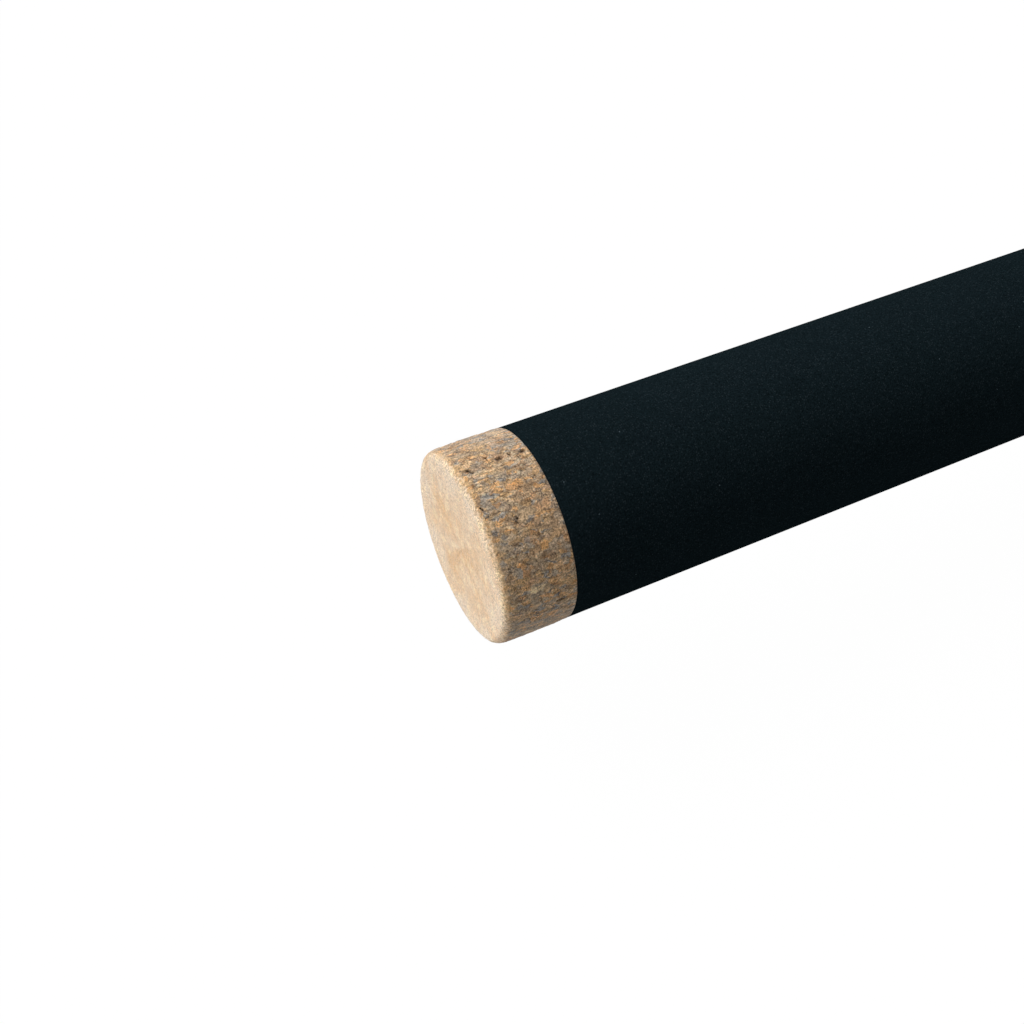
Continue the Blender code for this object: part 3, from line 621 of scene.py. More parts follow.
@dataclass(frozen=True)
class GraphiteNylon:
    """Moulded nylon filled with graphite: charcoal, satin, with a fine moulded grain."""

    slot: str = "graphite_plastic"
    colour: str = "#17181b"
    fleck: str = "#2a2c30"
    grain_mm: float = 0.25
    fleck_range: Range = (0.45, 0.75)
    roughness: Range = (0.38, 0.52)
    relief: float = 0.000015

    def material(self) -> bpy.types.Material:
        """Build the material.

        Returns:
            The material.
        """
        recipe = Recipe("graphite nylon")
        add = recipe.add
        grain = add("TexNoise", recipe.place, Scale=per_metre(self.grain_mm), Detail=3.0, Roughness=0.6)
        share = add("MapRange", grain, *self.fleck_range)
        return recipe.finish(
            Base_Color=add("Mix", share, self.colour, self.fleck, data_type="RGBA"),
            Roughness=add("MapRange", grain, *NOISE_RANGE, *self.roughness),
            IOR=1.53,
            Specular_IOR_Level=0.25,
            Normal=add("Bump", Height=grain, Distance=self.relief, Strength=0.5),
        )


class Dye(Enum):
    """Colour that aluminium takes when it is anodised."""

    BLACK = "#37393d"
    GUNMETAL = "#71757b"


@dataclass(frozen=True)
class AnodisedAluminium:
    """Turned and anodised aluminium: a dyed metal sheen over fine tool lines."""

    dye: Dye
    slot: str
    # Real tool lines are about 0.05 mm apart; they are drawn coarser, so that they show.
    line_mm: float = 0.09
    line_stretch: float = 0.02
    cloud_mm: float = 2.5
    worn: str = "#8d9094"
    worn_range: Range = (0.15, 0.45)
    worn_share: float = 0.07
    roughness: Range = (0.26, 0.4)
    relief: float = 0.000006

    def material(self) -> bpy.types.Material:
        """Build the material.

        Returns:
            The material.
        """
        recipe = Recipe(f"{self.dye.name.lower()} anodised aluminium")
        add = recipe.add
        around = (1.0, self.line_stretch, self.line_stretch)
        vector = add("Mapping", recipe.place, Scale=around)
        lines = add("TexNoise", vector, Scale=per_metre(self.line_mm))
        cloud = add("TexNoise", recipe.place, Scale=per_metre(self.cloud_mm), Detail=3.0)
        worn = add("Math", lines, cloud, operation="MULTIPLY")
        share = add("MapRange", worn, *self.worn_range, 0.0, self.worn_share)
        return recipe.finish(
            Base_Color=add("Mix", share, self.dye.value, self.worn, data_type="RGBA"),
            Metallic=1.0,
            Roughness=add("MapRange", lines, *NOISE_RANGE, *self.roughness),
            Normal=add("Bump", Height=lines, Distance=self.relief, Strength=0.6),
        )


@dataclass(frozen=True)
class PolishedSteel:
    """Drawn stainless wire and strip, brazed and polished: a dark bright metal with hairline marks."""

    slot: str = "steel_frame"
    colour: str = "#a9abb0"
    shade: str = "#96999e"
    # Real polishing marks are a few microns wide; they are drawn coarser, so that they show.
    mark_mm: float = 0.07
    mark_range: Range = (0.35, 0.7)
    roughness: Range = (0.13, 0.21)
    relief: float = 0.000001

    def material(self) -> bpy.types.Material:
        """Build the material.

        Returns:
            The material.
        """
        recipe = Recipe("polished steel")
        add = recipe.add
        marks = add("TexNoise", recipe.place, Scale=per_metre(self.mark_mm), Detail=4.0, Roughness=0.65)
        share = add("MapRange", marks, *self.mark_range)
        return recipe.finish(
            Base_Color=add("Mix", share, self.colour, self.shade, data_type="RGBA"),
            Metallic=1.0,
            Roughness=add("MapRange", marks, *NOISE_RANGE, *self.roughness),
            Normal=add("Bump", Height=marks, Distance=self.relief, Strength=0.3),
        )


@dataclass(frozen=True)
class PolishedCeramic:
    """Dark oxide ceramic, fired and tumbled: nearly black, hard and glossy, with a faint mottle."""

    slot: str = "ceramic_ring"
    colour: str = "#1a1b1f"
    mottle: str = "#2b2d32"
    mottle_mm: float = 0.5
    mottle_range: Range = (0.4, 0.7)

    def material(self) -> bpy.types.Material:
        """Build the material.

        Returns:
            The material.
        """
        recipe = Recipe("polished ceramic")
        mottle = recipe.add("TexNoise", recipe.place, Scale=per_metre(self.mottle_mm), Detail=3.0)
        share = recipe.add("MapRange", mottle, *self.mottle_range)
        colour = recipe.add("Mix", share, self.colour, self.mottle, data_type="RGBA")
        return recipe.finish(Base_Color=colour, Roughness=0.12, IOR=1.77, Specular_IOR_Level=0.3)


@dataclass(frozen=True)
class LacqueredThread:
    """Black nylon thread wound tight under clear epoxy: fine ridges, their crests painted paler as a
    sheen, beneath a wet gloss.
    """

    slot: str = "thread"
    colour: str = "#0c0d10"
    # Colour of the painted sheen on the thread's crests.
    sheen: str = "#2c2f35"
    # Real thread is 0.15 mm thick and its fibres 0.02 mm; both are drawn coarser, so that they show.
    thread_mm: float = 0.24
    fibre_mm: float = 0.06
    fibre_stretch: float = 0.3
    fibre_tone: Range = (0.5, 1.0)
    relief: float = 0.00002

    def material(self) -> bpy.types.Material:
        """Build the material.

        Returns:
            The material.
        """
        recipe = Recipe("lacquered thread")
        add = recipe.add
        ridges = recipe.spiral(self.thread_mm)
        vector = add("Mapping", recipe.place, Scale=(1.0, self.fibre_stretch, self.fibre_stretch))
        fibres = add("TexNoise", vector, Scale=per_metre(self.fibre_mm), Detail=1.0)
        factor = add("MapRange", fibres, *NOISE_RANGE, *self.fibre_tone)
        # Painted highlight on the ridges' crests, its strength varied by real fibre tone.
        tone = add("Math", ridges, factor, operation="MULTIPLY")
        return recipe.finish(
            Base_Color=add("Mix", tone, self.colour, self.sheen, data_type="RGBA"),
            Specular_IOR_Level=0.1,
            Coat_Weight=0.5,
            Coat_Roughness=0.06,
            Normal=add("Bump", Height=ridges, Distance=self.relief, Strength=0.5),
        )


@dataclass(frozen=True)
class ArborFoam:
    """Rigid cut foam: pale grey and matt, with an open cell."""

    slot: str = "arbor_foam"
    colour: str = "#b9b6ac"
    cell: str = "#8b887f"
    cell_mm: float = 0.4
    relief: float = 0.00005

    def material(self) -> bpy.types.Material:
        """Build the material.

        Returns:
            The material.
        """
        recipe = Recipe("arbor foam")
        cells = recipe.add("TexVoronoi", recipe.place, Scale=per_metre(self.cell_mm))
        return recipe.finish(
            Base_Color=recipe.add("Mix", cells, self.cell, self.colour, data_type="RGBA"),
            Roughness=0.9,
            Normal=recipe.add("Bump", Height=cells, Distance=self.relief, Strength=0.8),
        )


def finished_mesh(shape: bmesh.types.BMesh, name: str) -> bpy.types.Mesh:
    """Turn a bmesh into a smooth mesh whose faces point outwards.

    Args:
        shape: The bmesh, which is freed.
        name: The mesh's name.

    Returns:
        The mesh.
    """
    bmesh.ops.remove_doubles(shape, verts=shape.verts, dist=MERGE_DISTANCE)
    bmesh.ops.recalc_face_normals(shape, faces=shape.faces)
    mesh = bpy.data.meshes.new(name)
    shape.to_mesh(mesh)
    shape.free()
    mesh.shade_smooth()
    mesh.set_sharp_from_angle(angle=SMOOTH_ANGLE)
    return mesh


def add_piece(
    name: str, mesh: bpy.types.Mesh, material: bpy.types.Material, slot: str, body: Body, *nodes: str
) -> bpy.types.Object:
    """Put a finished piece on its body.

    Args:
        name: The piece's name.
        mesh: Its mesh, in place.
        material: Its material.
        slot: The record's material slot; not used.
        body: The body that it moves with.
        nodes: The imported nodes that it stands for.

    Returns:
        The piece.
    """
    mesh.materials.append(material)
    piece = bpy.data.objects.new(name, mesh)
    bpy.context.scene.collection.objects.link(piece)
    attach(piece, body.value)
    if nodes:
        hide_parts(*nodes)
    log.info("%s: %d faces on %s", name, len(mesh.polygons), body.value)
    return piece


def turned(outline: Outline, segments: int) -> bmesh.types.BMesh:
    """Spin an outline round the rod's axis.

    Args:
        outline: Points as station and radius. An outline that leaves the axis is closed on itself.
        segments: How many steps go round the rod.

    Returns:
        The turned shape.
    """
    shape = bmesh.new()
    verts = [shape.verts.new((station, 0.0, radius)) for station, radius in outline]
    pairs = list(zip(verts, verts[1:]))
    if min(radius for _, radius in outline) > MERGE_DISTANCE:
        pairs.append((verts[-1], verts[0]))
    edges = [shape.edges.new(pair) for pair in pairs]
    bmesh.ops.spin(
        shape,
        geom=verts + edges,
        cent=(0, 0, 0),
        axis=(1, 0, 0),
        angle=math.tau,
        steps=segments,
        use_merge=True,
    )
    bmesh.ops.remove_doubles(shape, verts=shape.verts, dist=MERGE_DISTANCE)
    return shape


def sleeve(outline: Outline, bore: Wall, skin: Wall, segments: int) -> bmesh.types.BMesh:
    """A closed sleeve round the rod whose two walls follow functions of station and angle.

    Args:
        outline: Points as station and depth, where depth 0 lies on the bore and 1 on the skin.
        bore: Radius of the bore at a station and an angle from the reel's side.
        skin: Radius of the skin at a station and an angle.
        segments: How many steps go round the rod.

    Returns:
        The shape.
    """
    shape = turned([(station, 1.0 + depth) for station, depth in outline], segments)
    for vert in shape.verts:
        station, y, z = vert.co
        angle = math.atan2(y, -z)
        depth = math.hypot(y, z) - 1.0
        radius = blend(bore(station, angle), skin(station, angle), depth)
        vert.co = (station, radius * math.sin(angle), -radius * math.cos(angle))
    return shape


def walls(skin_rows: list[float], bore_rows: list[float], rounding: float = 0.0) -> Outline:
    """Outline of a sleeve for the function above.

    Args:
        skin_rows: Stations of the skin, upwards.
        bore_rows: Stations of the bore, upwards, with the same ends.
        rounding: How far the skin's edges are drawn in, as a depth.

    Returns:
        Points as station and depth.
    """
    skin = [(row, 1.0) for row in skin_rows]
    skin[0] = (skin[0][0], 1.0 - rounding)
    skin[-1] = (skin[-1][0], 1.0 - rounding)
    return skin + [(row, 0.0) for row in reversed(bore_rows)]


def smooth_path(points: list[Vector], steps: int) -> list[Vector]:
    """Points on a smooth curve through the given ones.

    Args:
        points: The points that it passes.
        steps: How many pieces each stretch is cut into.

    Returns:
        The points, ends among them.
    """
    padded = [2 * points[0] - points[1], *points, 2 * points[-1] - points[-2]]
    path = []
    for a, b, c, d in zip(padded, padded[1:], padded[2:], padded[3:]):
        for i in range(steps):
            t = i / steps
            bend = (2 * a - 5 * b + 4 * c - d) * t**2
            twist = (3 * b - a - 3 * c + d) * t**3
            path.append((2 * b + (c - a) * t + bend + twist) / 2)
    return path + [points[-1]]


def loft(rings: list[Matrix], sides: int) -> bmesh.types.BMesh:
    """A closed shape through circles, each placed and stretched by a matrix.

    Args:
        rings: One matrix for each unit circle, in order.
        sides: How many sides each circle has.

    Returns:
        The shape.
    """
    shape = bmesh.new()
    loops = []
    for matrix in rings:
        made = bmesh.ops.create_circle(shape, segments=sides, radius=1.0, matrix=matrix)
        loops.append(list({edge for vert in made["verts"] for edge in vert.link_edges}))
    for first, last in zip(loops, loops[1:]):
        bmesh.ops.bridge_loops(shape, edges=first + last)
    bmesh.ops.holes_fill(shape, edges=loops[0] + loops[-1])
    return shape


def wire(points: list[Vector], radius: float, sides: int = 12) -> bmesh.types.BMesh:
    """Round wire along a smooth path through a few points.

    Args:
        points: The points that it passes.
        radius: Its radius.
        sides: How many sides it has.

    Returns:
        The wire, closed at both ends.
    """
    path = smooth_path(points, 6)
    rings = []
    for i, point in enumerate(path):
        ahead = path[min(i + 1, len(path) - 1)] - path[max(i - 1, 0)]
        turn = ahead.to_track_quat("Z", "Y").to_matrix().to_4x4()
        rings.append(Matrix.Translation(point) @ turn @ Matrix.Diagonal((radius, radius, 1, 1)))
    return loft(rings, sides)


def united(name: str, shapes: list[bmesh.types.BMesh]) -> bpy.types.Mesh:
    """Join closed shapes into one closed mesh.

    Args:
        name: The mesh's name.
        shapes: The shapes, which are freed.

    Returns:
        The joined mesh.
    """
    solids = []
    for index, shape in enumerate(shapes):
        solid = bpy.data.objects.new(f"{name}_{index}", finished_mesh(shape, f"{name}_{index}"))
        bpy.context.scene.collection.objects.link(solid)
        solids.append(solid)
    for other in solids[1:]:
        union = solids[0].modifiers.new(f"union with {other.name}", "BOOLEAN")
        union.operation = "UNION"
        union.object = other
    evaluated = solids[0].evaluated_get(bpy.context.evaluated_depsgraph_get())
    joined = bmesh.new()
    joined.from_mesh(evaluated.to_mesh())
    evaluated.to_mesh_clear()
    for solid in solids:
        bpy.data.objects.remove(solid)
    return finished_mesh(joined, name)


def node_ends(name: str) -> tuple[float, float]:
    """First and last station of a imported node."""
    low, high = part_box(name)
    return low.x, high.x


def node_radius(name: str, station: float, reach: float = 0.0002) -> float:
    """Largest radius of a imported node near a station.

    Args:
        name: The node.
        station: Where it is measured.
        reach: How far from the station its corners may lie.

    Returns:
        The radius in metres.
    """
    corners = (vert.co for vert in frame["nodes"][name].data.vertices)
    return max(math.hypot(co.y, co.z) for co in corners if abs(co.x - station) <= reach)


@dataclass(frozen=True)
class Pit:
    """Hole in the side of the cork, in millimetres and degrees; a lean of 0 lies along the rod."""

    station: float
    angle: float
    length: float
    width: float
    lean: float = 0.0
    wall_share: float = 0.6

    def depth(self, place: Vector) -> float:
        """Find how deep the hole is at a place.

        Args:
            place: A point on the cork's side.

        Returns:
            The depth as a share of the deepest.
        """
        turn = (math.atan2(place.y, -place.z) - math.radians(self.angle) + math.pi) % math.tau - math.pi
        along = place.x * 1000.0 - self.station
        around = math.hypot(place.y, place.z) * 1000.0 * turn
        lean = math.radians(self.lean)
        first = (along * math.cos(lean) + around * math.sin(lean)) / self.length
        second = (around * math.cos(lean) - along * math.sin(lean)) / self.width
        return eased((1.0 - math.hypot(first, second)) / self.wall_share)


# The first eight holes lie on the side that the photograph shows.
PITS = (
    Pit(1.95, 179.0, 0.85, 0.34, 30.0),
    Pit(6.2, 177.0, 0.72, 0.48, -15.0),
    Pit(7.6, 176.5, 0.32, 0.22, 40.0),
    Pit(4.6, 173.2, 0.36, 0.20, 15.0),
    Pit(9.4, 177.6, 0.55, 0.36, 15.0),
    Pit(1.0, -156.8, 0.32, 0.16, 60.0),
    Pit(4.6, -146.0, 0.28, 0.22),
    Pit(7.9, -90.4, 0.90, 0.26, 8.0),
    Pit(3.0, -40.0, 0.60, 0.25, 20.0),
    Pit(7.5, -20.0, 0.45, 0.30, -30.0),
    Pit(5.0, 15.0, 0.70, 0.22, 10.0),
    Pit(2.4, 48.0, 0.35, 0.20, 50.0),
    Pit(8.2, 70.0, 0.60, 0.28, -10.0),
    Pit(4.4, 105.0, 0.50, 0.18, 25.0),
    Pit(6.6, 138.0, 0.75, 0.24, -20.0),
    Pit(2.2, 150.0, 0.30, 0.20),
)


@dataclass
class Handle:
    """Butt cap of composite cork and the two foam grips."""

    cork: CompositeCork = CompositeCork()
    foam: EvaFoam = EvaFoam()
    cap_segments: int = 480
    cap_row: float = 0.00018
    cap_edge: float = 0.00105
    cap_edge_steps: int = 9
    cap_proud: float = 0.00010
    cap_fullness: float = 0.6
    cap_dish: float = 0.00015
    seam_round: float = 0.00012
    seam_calm: float = 0.0006
    joint_gap: float = 0.0003
    recess_radius: float = 0.0072
    recess_depth: float = 0.0049
    roughness: float = 0.00007
    rough_scale: float = 1300.0
    face_roughness: float = 0.25
    crumble: float = 0.00004
    crumb_scale: float = 1400.0
    crumb_loss: float = 0.1
    crumb_middle: float = 0.45
    pit_depth: float = 0.00038
    # Share of painted shade at the bottom of the deepest pit.
    pit_shade: float = 0.8
    pit_scale: float = 2200.0
    pit_raggedness: float = 0.00022
    grip_segments: int = 128
    grip_row: float = 0.004
    grip_edge: float = 0.0012
    grip_edge_steps: int = 6
    grip_tuck: float = 0.00004
    full_share: float = 0.9999
    bore_clearance: float = 0.0003

    def build(self) -> None:
        """Build the handle's pieces."""
        self.build_cap()
        foam = self.foam.material()
        self.build_rear_grip(foam)
        self.build_fore_grip(foam)

    def cap_outline(self) -> Outline:
        """Outline of the cap, from the middle of its face round to its recess.

        Returns:
            Points as station and radius.
        """
        radius = node_radius("butt_cap", node_ends("butt_cap")[1])
        seam = node_ends("butt_cap")[1] + self.joint_gap / 2
        flat = radius - self.cap_edge
        outline = [
            (self.cap_dish * (1 - (r / flat) ** 2), r) for r in steps_between(0.0, flat, self.cap_row)
        ]
        outline += arc((self.cap_edge, flat), self.cap_edge, 180, 90, self.cap_edge_steps)[1:]
        side = steps_between(self.cap_edge, seam - self.seam_round, self.cap_row)[1:]
        for station in side:
            share = (station - self.cap_edge) / (seam - self.cap_edge)
            bulge = self.cap_proud * math.sin(math.pi * share) ** self.cap_fullness
            outline.append((station, radius + bulge))
        low = radius - self.seam_round / 2
        outline += [(seam, low), (seam, (low + self.recess_radius) / 2), (seam, self.recess_radius)]
        floor = seam - self.recess_depth
        outline += [(floor, self.recess_radius), (floor, 0.0)]
        return outline

    def build_cap(self) -> None:
        """Turn the cap, then pit its surface, store the pits' painted shade and crumble its edge."""
        shape = turned(self.cap_outline(), self.cap_segments)
        bmesh.ops.recalc_face_normals(shape, faces=shape.faces)
        shape.normal_update()
        pit_shade_layer = shape.verts.layers.float.new("pit")
        inside = self.recess_radius + self.cap_row
        behind_face = self.cap_row * 4
        seam = node_ends("butt_cap")[1]
        for vert in shape.verts:
            place = vert.co.copy()
            if place.x > behind_face and math.hypot(place.y, place.z) < inside:
                continue
            off_seam = eased((seam - place.x) / self.seam_calm)
            pit = self.pit_at(place) * off_seam
            on_side = blend(self.face_roughness, 1.0, eased(place.x / self.cap_edge))
            rough = (noise.turbulence(place * self.rough_scale, 3, False) - 0.5) * on_side
            at_edge = max(0.0, 1 - abs(place.x - self.cap_edge * self.crumb_middle) / self.cap_edge)
            crumb = (noise.noise(place * self.crumb_scale) - self.crumb_loss) * self.crumble * at_edge
            lift = rough * self.roughness - pit * self.pit_depth + crumb
            # The attribute pit holds painted shade: how far the colour darkens in the pits.
            vert[pit_shade_layer] = pit * self.pit_shade
            vert.co = place + vert.normal * lift * off_seam
        mesh = finished_mesh(shape, "butt_cap_cork")
        add_piece(
            "butt_cap_cork", mesh, self.cork.material(), self.cork.slot, Body.BUTT, "butt_cap"
        )

    def pit_at(self, place: Vector) -> float:
        """Find how deep the cork's side is pitted at a place.

        Args:
            place: A point on the cap.

        Returns:
            The depth as a share of the deepest, from 0 to 1.
        """
        if place.x < self.cap_edge / 2:
            return 0.0
        ragged = place + noise.noise_vector(place * self.pit_scale) * self.pit_raggedness
        return max(pit.depth(ragged) for pit in PITS)

    def build_rear_grip(self, foam: bpy.types.Material) -> None:
        """Straight grip that draws in to the reel seat.

        Args:
            foam: Its material.
        """
        start, end = node_ends("rear_grip")
        radius = node_radius("rear_grip", start)
        seam = start - self.joint_gap / 2
        corners = (vert.co for vert in frame["nodes"]["rear_grip"].data.vertices)
        full = radius * self.full_share
        neck_start = max(co.x for co in corners if math.hypot(co.y, co.z) > full)
        neck_end = end - self.grip_edge
        neck = node_radius("rear_grip", neck_end)
        outline = [(seam, radius - self.grip_tuck)]
        outline += [(x, radius) for x in steps_between(start, neck_start, self.grip_row)]
        for station in steps_between(neck_start, neck_end, self.grip_row / 2)[1:]:
            share = (station - neck_start) / (neck_end - neck_start)
            outline.append((station, blend(radius, neck, eased(share))))
        centre = (neck_end, neck - self.grip_edge)
        outline += arc(centre, self.grip_edge, 90, 0, self.grip_edge_steps)[1:]
        outline += self.bore(seam, end)
        mesh = finished_mesh(turned(outline, self.grip_segments), "rear_grip_foam")
        grip = add_piece("rear_grip_foam", mesh, foam, self.foam.slot, Body.BUTT, "rear_grip")

    def bore(self, start: float, end: float) -> Outline:
        """Bore of a grip, clear of the blank.

        Args:
            start: The grip's first station.
            end: Its last station.

        Returns:
            The bore's two points as station and radius, the last station first.
        """
        first, last = node_ends("butt_blank")
        near, far = node_radius("butt_blank", first), node_radius("butt_blank", last)
        return [
            (x, blend(near, far, (x - first) / (last - first)) + self.bore_clearance)
            for x in (end, start)
        ]

    def build_fore_grip(self, foam: bpy.types.Material) -> None:
        """Grip that tapers from the fixed hood to the winding check.

        Args:
            foam: Its material.
        """
        start, end = node_ends("fore_grip")
        edge = self.grip_edge
        back = node_radius("fore_grip", start + edge)
        front = node_radius("fore_grip", end - edge)
        outline = arc((start + edge, back - edge), edge, 180, 90, self.grip_edge_steps)
        for station in steps_between(start + edge, end - edge, self.grip_row / 2)[1:]:
            share = (station - start - edge) / (end - start - 2 * edge)
            outline.append((station, blend(back, front, eased(share))))
        outline += arc((end - edge, front - edge), edge, 90, 0, self.grip_edge_steps)[1:]
        outline += self.bore(start, end)
        mesh = finished_mesh(turned(outline, self.grip_segments), "fore_grip_foam")
        grip = add_piece("fore_grip_foam", mesh, foam, self.foam.slot, Body.BUTT, "fore_grip")


@dataclass
class ReelSeat:
    """Threaded barrel with its two hoods and the nut that drives the sliding one."""

    nylon: GraphiteNylon = GraphiteNylon()
    hood_metal: AnodisedAluminium = AnodisedAluminium(Dye.BLACK, "anodised_hood")
    nut_metal: AnodisedAluminium = AnodisedAluminium(Dye.GUNMETAL, "anodised_nut")
    arbor: ArborFoam = ArborFoam()
    segments: int = 128
    nut_segments: int = 192
    row: float = 0.0005
    thread_row: float = 0.00025
    clearance: float = 0.0003
    bed_depth: float = 0.0003
    bed_margin: float = 0.0005
    barrel_bore: float = 0.0086
    thread_pitch: float = 0.0020
    thread_depth: float = 0.00045
    thread_sharpness: float = 0.8
    travel: float = 0.024
    hood_wall: float = 0.0015
    hood_rounding: float = 0.22
    hood_edge: float = 0.0002
    hood_lip: float = 0.0015
    hood_slope: float = 0.012
    lip_ends: float = 45.0
    lip_fades: float = 70.0
    pocket_depth: float = 0.0155
    arch_centre: float = 0.0060
    arch_half_width: float = 0.0122
    arch_fillet: float = 0.0006
    fillet_reach: float = 8.0
    nut_grooves: int = 16
    groove_radius: float = 0.0013
    groove_depth: float = 0.0008
    groove_end: float = 0.0105
    nut_chamfer: float = 0.0008
    check_groove: float = 0.00025
    check_groove_place: float = 0.38
    check_edge_steps: int = 8

    def build(self) -> None:
        """Build the seat's pieces and dress the arbors inside it."""
        self.radius = node_radius("seat_barrel", node_ends("seat_barrel")[0])
        self.land = -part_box("seat_barrel")[0].z
        metal = self.hood_metal.material()
        alloy = self.nut_metal.material()
        self.build_barrel()
        self.build_hood("sliding_hood", 1, Body.HOOD, metal)
        self.build_hood("fixed_hood", -1, Body.BUTT, metal)
        self.build_nut(alloy)
        self.build_check(alloy)
        foam = self.arbor.material()
        for name in ("seat_arbor_rear", "seat_arbor_front"):
            materials = frame["nodes"][name].data.materials
            materials.clear()
            materials.append(foam)
            log.info("%s: packed node, dressed", name)

    def keyed(self, radius: float, land: float, angle: float) -> float:
        """Radius of a cylinder with a flat land on the reel's side."""
        towards = math.cos(angle)
        return min(radius, land / towards) if towards > 0 else radius

    def build_barrel(self) -> None:
        """Barrel with the nut's thread, the keying land and the bed for the reel's foot."""
        start, end = node_ends("seat_barrel")
        thread_start = start + self.thread_pitch / 2
        thread_end = node_ends("lock_nut")[1] + self.travel + self.thread_pitch
        bed_start = node_ends("sliding_hood")[1] + self.bed_margin
        bed_end = node_ends("fixed_hood")[0] - self.bed_margin

        def skin(station: float, angle: float) -> float:
            """Radius of the threaded and milled outside.

            Args:
                station: Where it is.
                angle: The angle from the reel's side.

            Returns:
                The radius.
            """
            fade = min(station - thread_start, thread_end - station) / self.thread_pitch
            turn = station / self.thread_pitch - angle / math.tau
            wave = 0.5 + self.thread_sharpness * math.cos(math.tau * turn)
            cut = min(max(wave, 0.0), 1.0) * eased(fade)
            in_bed = bed_start <= station <= bed_end
            land = self.land - (self.bed_depth if in_bed else 0.0)
            return self.keyed(self.radius - self.thread_depth * cut, land, angle)

        rows = steps_between(start, thread_end, self.thread_row)
        rows += steps_between(thread_end, bed_end, self.row * 2)[1:] + [end]
        rows += [edge + side for edge in (bed_start, bed_end) for side in (-STEP_LENGTH, STEP_LENGTH)]
        outline = walls(sorted(rows), [start, end])
        shape = sleeve(outline, lambda station, angle: self.barrel_bore, skin, self.segments)
        mesh = finished_mesh(shape, "seat_barrel_threaded")
        nylon = self.nylon.material()
        add_piece(
            "seat_barrel_threaded", mesh, nylon, self.nylon.slot, Body.BUTT, "seat_barrel"
        )

    def arch(self, centre: float, half_height: float, half_width: float, angle: float) -> float:
        """Distance from the rod's axis to an ellipse whose centre lies towards the reel.

        Args:
            centre: How far its centre lies from the axis.
            half_height: Its half height, towards the reel.
            half_width: Its half width.
            angle: The angle from the reel's side.

        Returns:
            The distance.
        """
        towards, aside = math.cos(angle) / half_height, math.sin(angle) / half_width
        offset = centre / half_height
        square = towards**2 + aside**2
        return (towards * offset + math.sqrt((towards * offset) ** 2 + square * (1 - offset**2))) / square

    def build_hood(self, name: str, facing: int, body: Body, metal: bpy.types.Material) -> None:
        """Hood with an arched pocket for one end of the reel's foot.

        Args:
            name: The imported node.
            facing: 1 if the pocket opens towards the tip, -1 towards the butt.
            body: The body that it moves with.
            metal: Its material.
        """
        start, end = node_ends(name)
        length = end - start
        top = -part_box(name)[0].z
        collar = self.radius + self.clearance + self.hood_wall

        def depth_in(station: float) -> float:
            """How far a station lies from the hood's closed end."""
            return station - start if facing > 0 else end - station

        def arched(station: float, angle: float, inset: float) -> float:
            """Radius of the arch that rises out of the collar.

            Args:
                station: Where it is.
                angle: The angle from the reel's side.
                inset: How far within the hood's outside it lies.

            Returns:
                The radius.
            """
            rise = eased((depth_in(station) - self.hood_wall) / self.hood_slope)
            centre = blend(0.0, self.arch_centre, rise)
            half_height = blend(collar - self.hood_wall / 3, top, rise) - centre
            half_width = blend(collar - self.hood_wall / 3, self.arch_half_width, rise)
            return self.arch(centre, half_height - inset, half_width - inset, angle)

        def skin(station: float, angle: float) -> float:
            """Radius of the hood's outside, where the collar and the arch meet softly.

            Args:
                station: Where it is.
                angle: The angle from the reel's side.

            Returns:
                The radius.
            """
            arch = arched(station, angle, 0.0)
            softness = self.arch_fillet
            gap = (arch - collar) / softness
            if abs(gap) > self.fillet_reach:
                return max(arch, collar)
            least = math.log1p(math.exp(-self.fillet_reach))
            return collar + softness * math.log1p(math.exp(gap)) - softness * least

        def bore(station: float, angle: float) -> float:
            """Radius of the keyed bore and of the pocket past it.

            Args:
                station: Where it is.
                angle: The angle from the reel's side.

            Returns:
                The radius.
            """
            keyed = self.keyed(self.radius + self.clearance, self.land + self.clearance, angle)
            if depth_in(station) <= length - self.pocket_depth:
                return keyed
            return max(keyed, arched(station, angle, self.hood_wall))

        back = length - self.pocket_depth
        skin_rows = steps_between(self.hood_wall / 3, length - self.hood_edge, self.row)
        bore_rows = [0.0, back, back + STEP_LENGTH] + steps_between(back + self.row, length, self.row)
        outline = walls([0.0] + skin_rows + [length], bore_rows, self.hood_rounding)
        outline = [(start + row if facing > 0 else end - row, depth) for row, depth in outline]
        shape = sleeve(outline, bore, skin, self.segments)
        for vert in shape.verts:
            depth = depth_in(vert.co.x)
            if depth > back:
                turn = abs(math.degrees(math.atan2(vert.co.y, -vert.co.z)))
                trim = self.hood_lip * eased((turn - self.lip_ends) / self.lip_fades)
                vert.co.x -= facing * trim * (depth - back) / (length - back)
        mesh = finished_mesh(shape, f"{name}_anodised")
        add_piece(f"{name}_anodised", mesh, metal, self.hood_metal.slot, body, name)

    def build_nut(self, alloy: bpy.types.Material) -> None:
        """Nut with scalloped grooves for the fingers, short of its shoulder.

        Args:
            alloy: Its material.
        """
        start, end = node_ends("lock_nut")
        corners = (vert.co for vert in frame["nodes"]["lock_nut"].data.vertices)
        radius = max(math.hypot(co.y, co.z) for co in corners)
        distance = radius + self.groove_radius - self.groove_depth
        pitch = math.tau / self.nut_grooves

        def skin(station: float, angle: float) -> float:
            """Radius of the nut, less where a groove crosses it.

            Args:
                station: Where it is.
                angle: The angle from the reel's side.

            Returns:
                The radius.
            """
            left = self.groove_end - (station - start)
            groove = self.groove_radius - max(0.0, self.groove_radius - left) ** 2 / self.groove_radius
            aside = (angle + pitch / 2) % pitch - pitch / 2
            if left <= 0 or abs(distance * math.sin(aside)) >= groove:
                return radius
            hollow = distance * math.cos(aside) - math.sqrt(groove**2 - (distance * math.sin(aside)) ** 2)
            return min(radius, hollow)

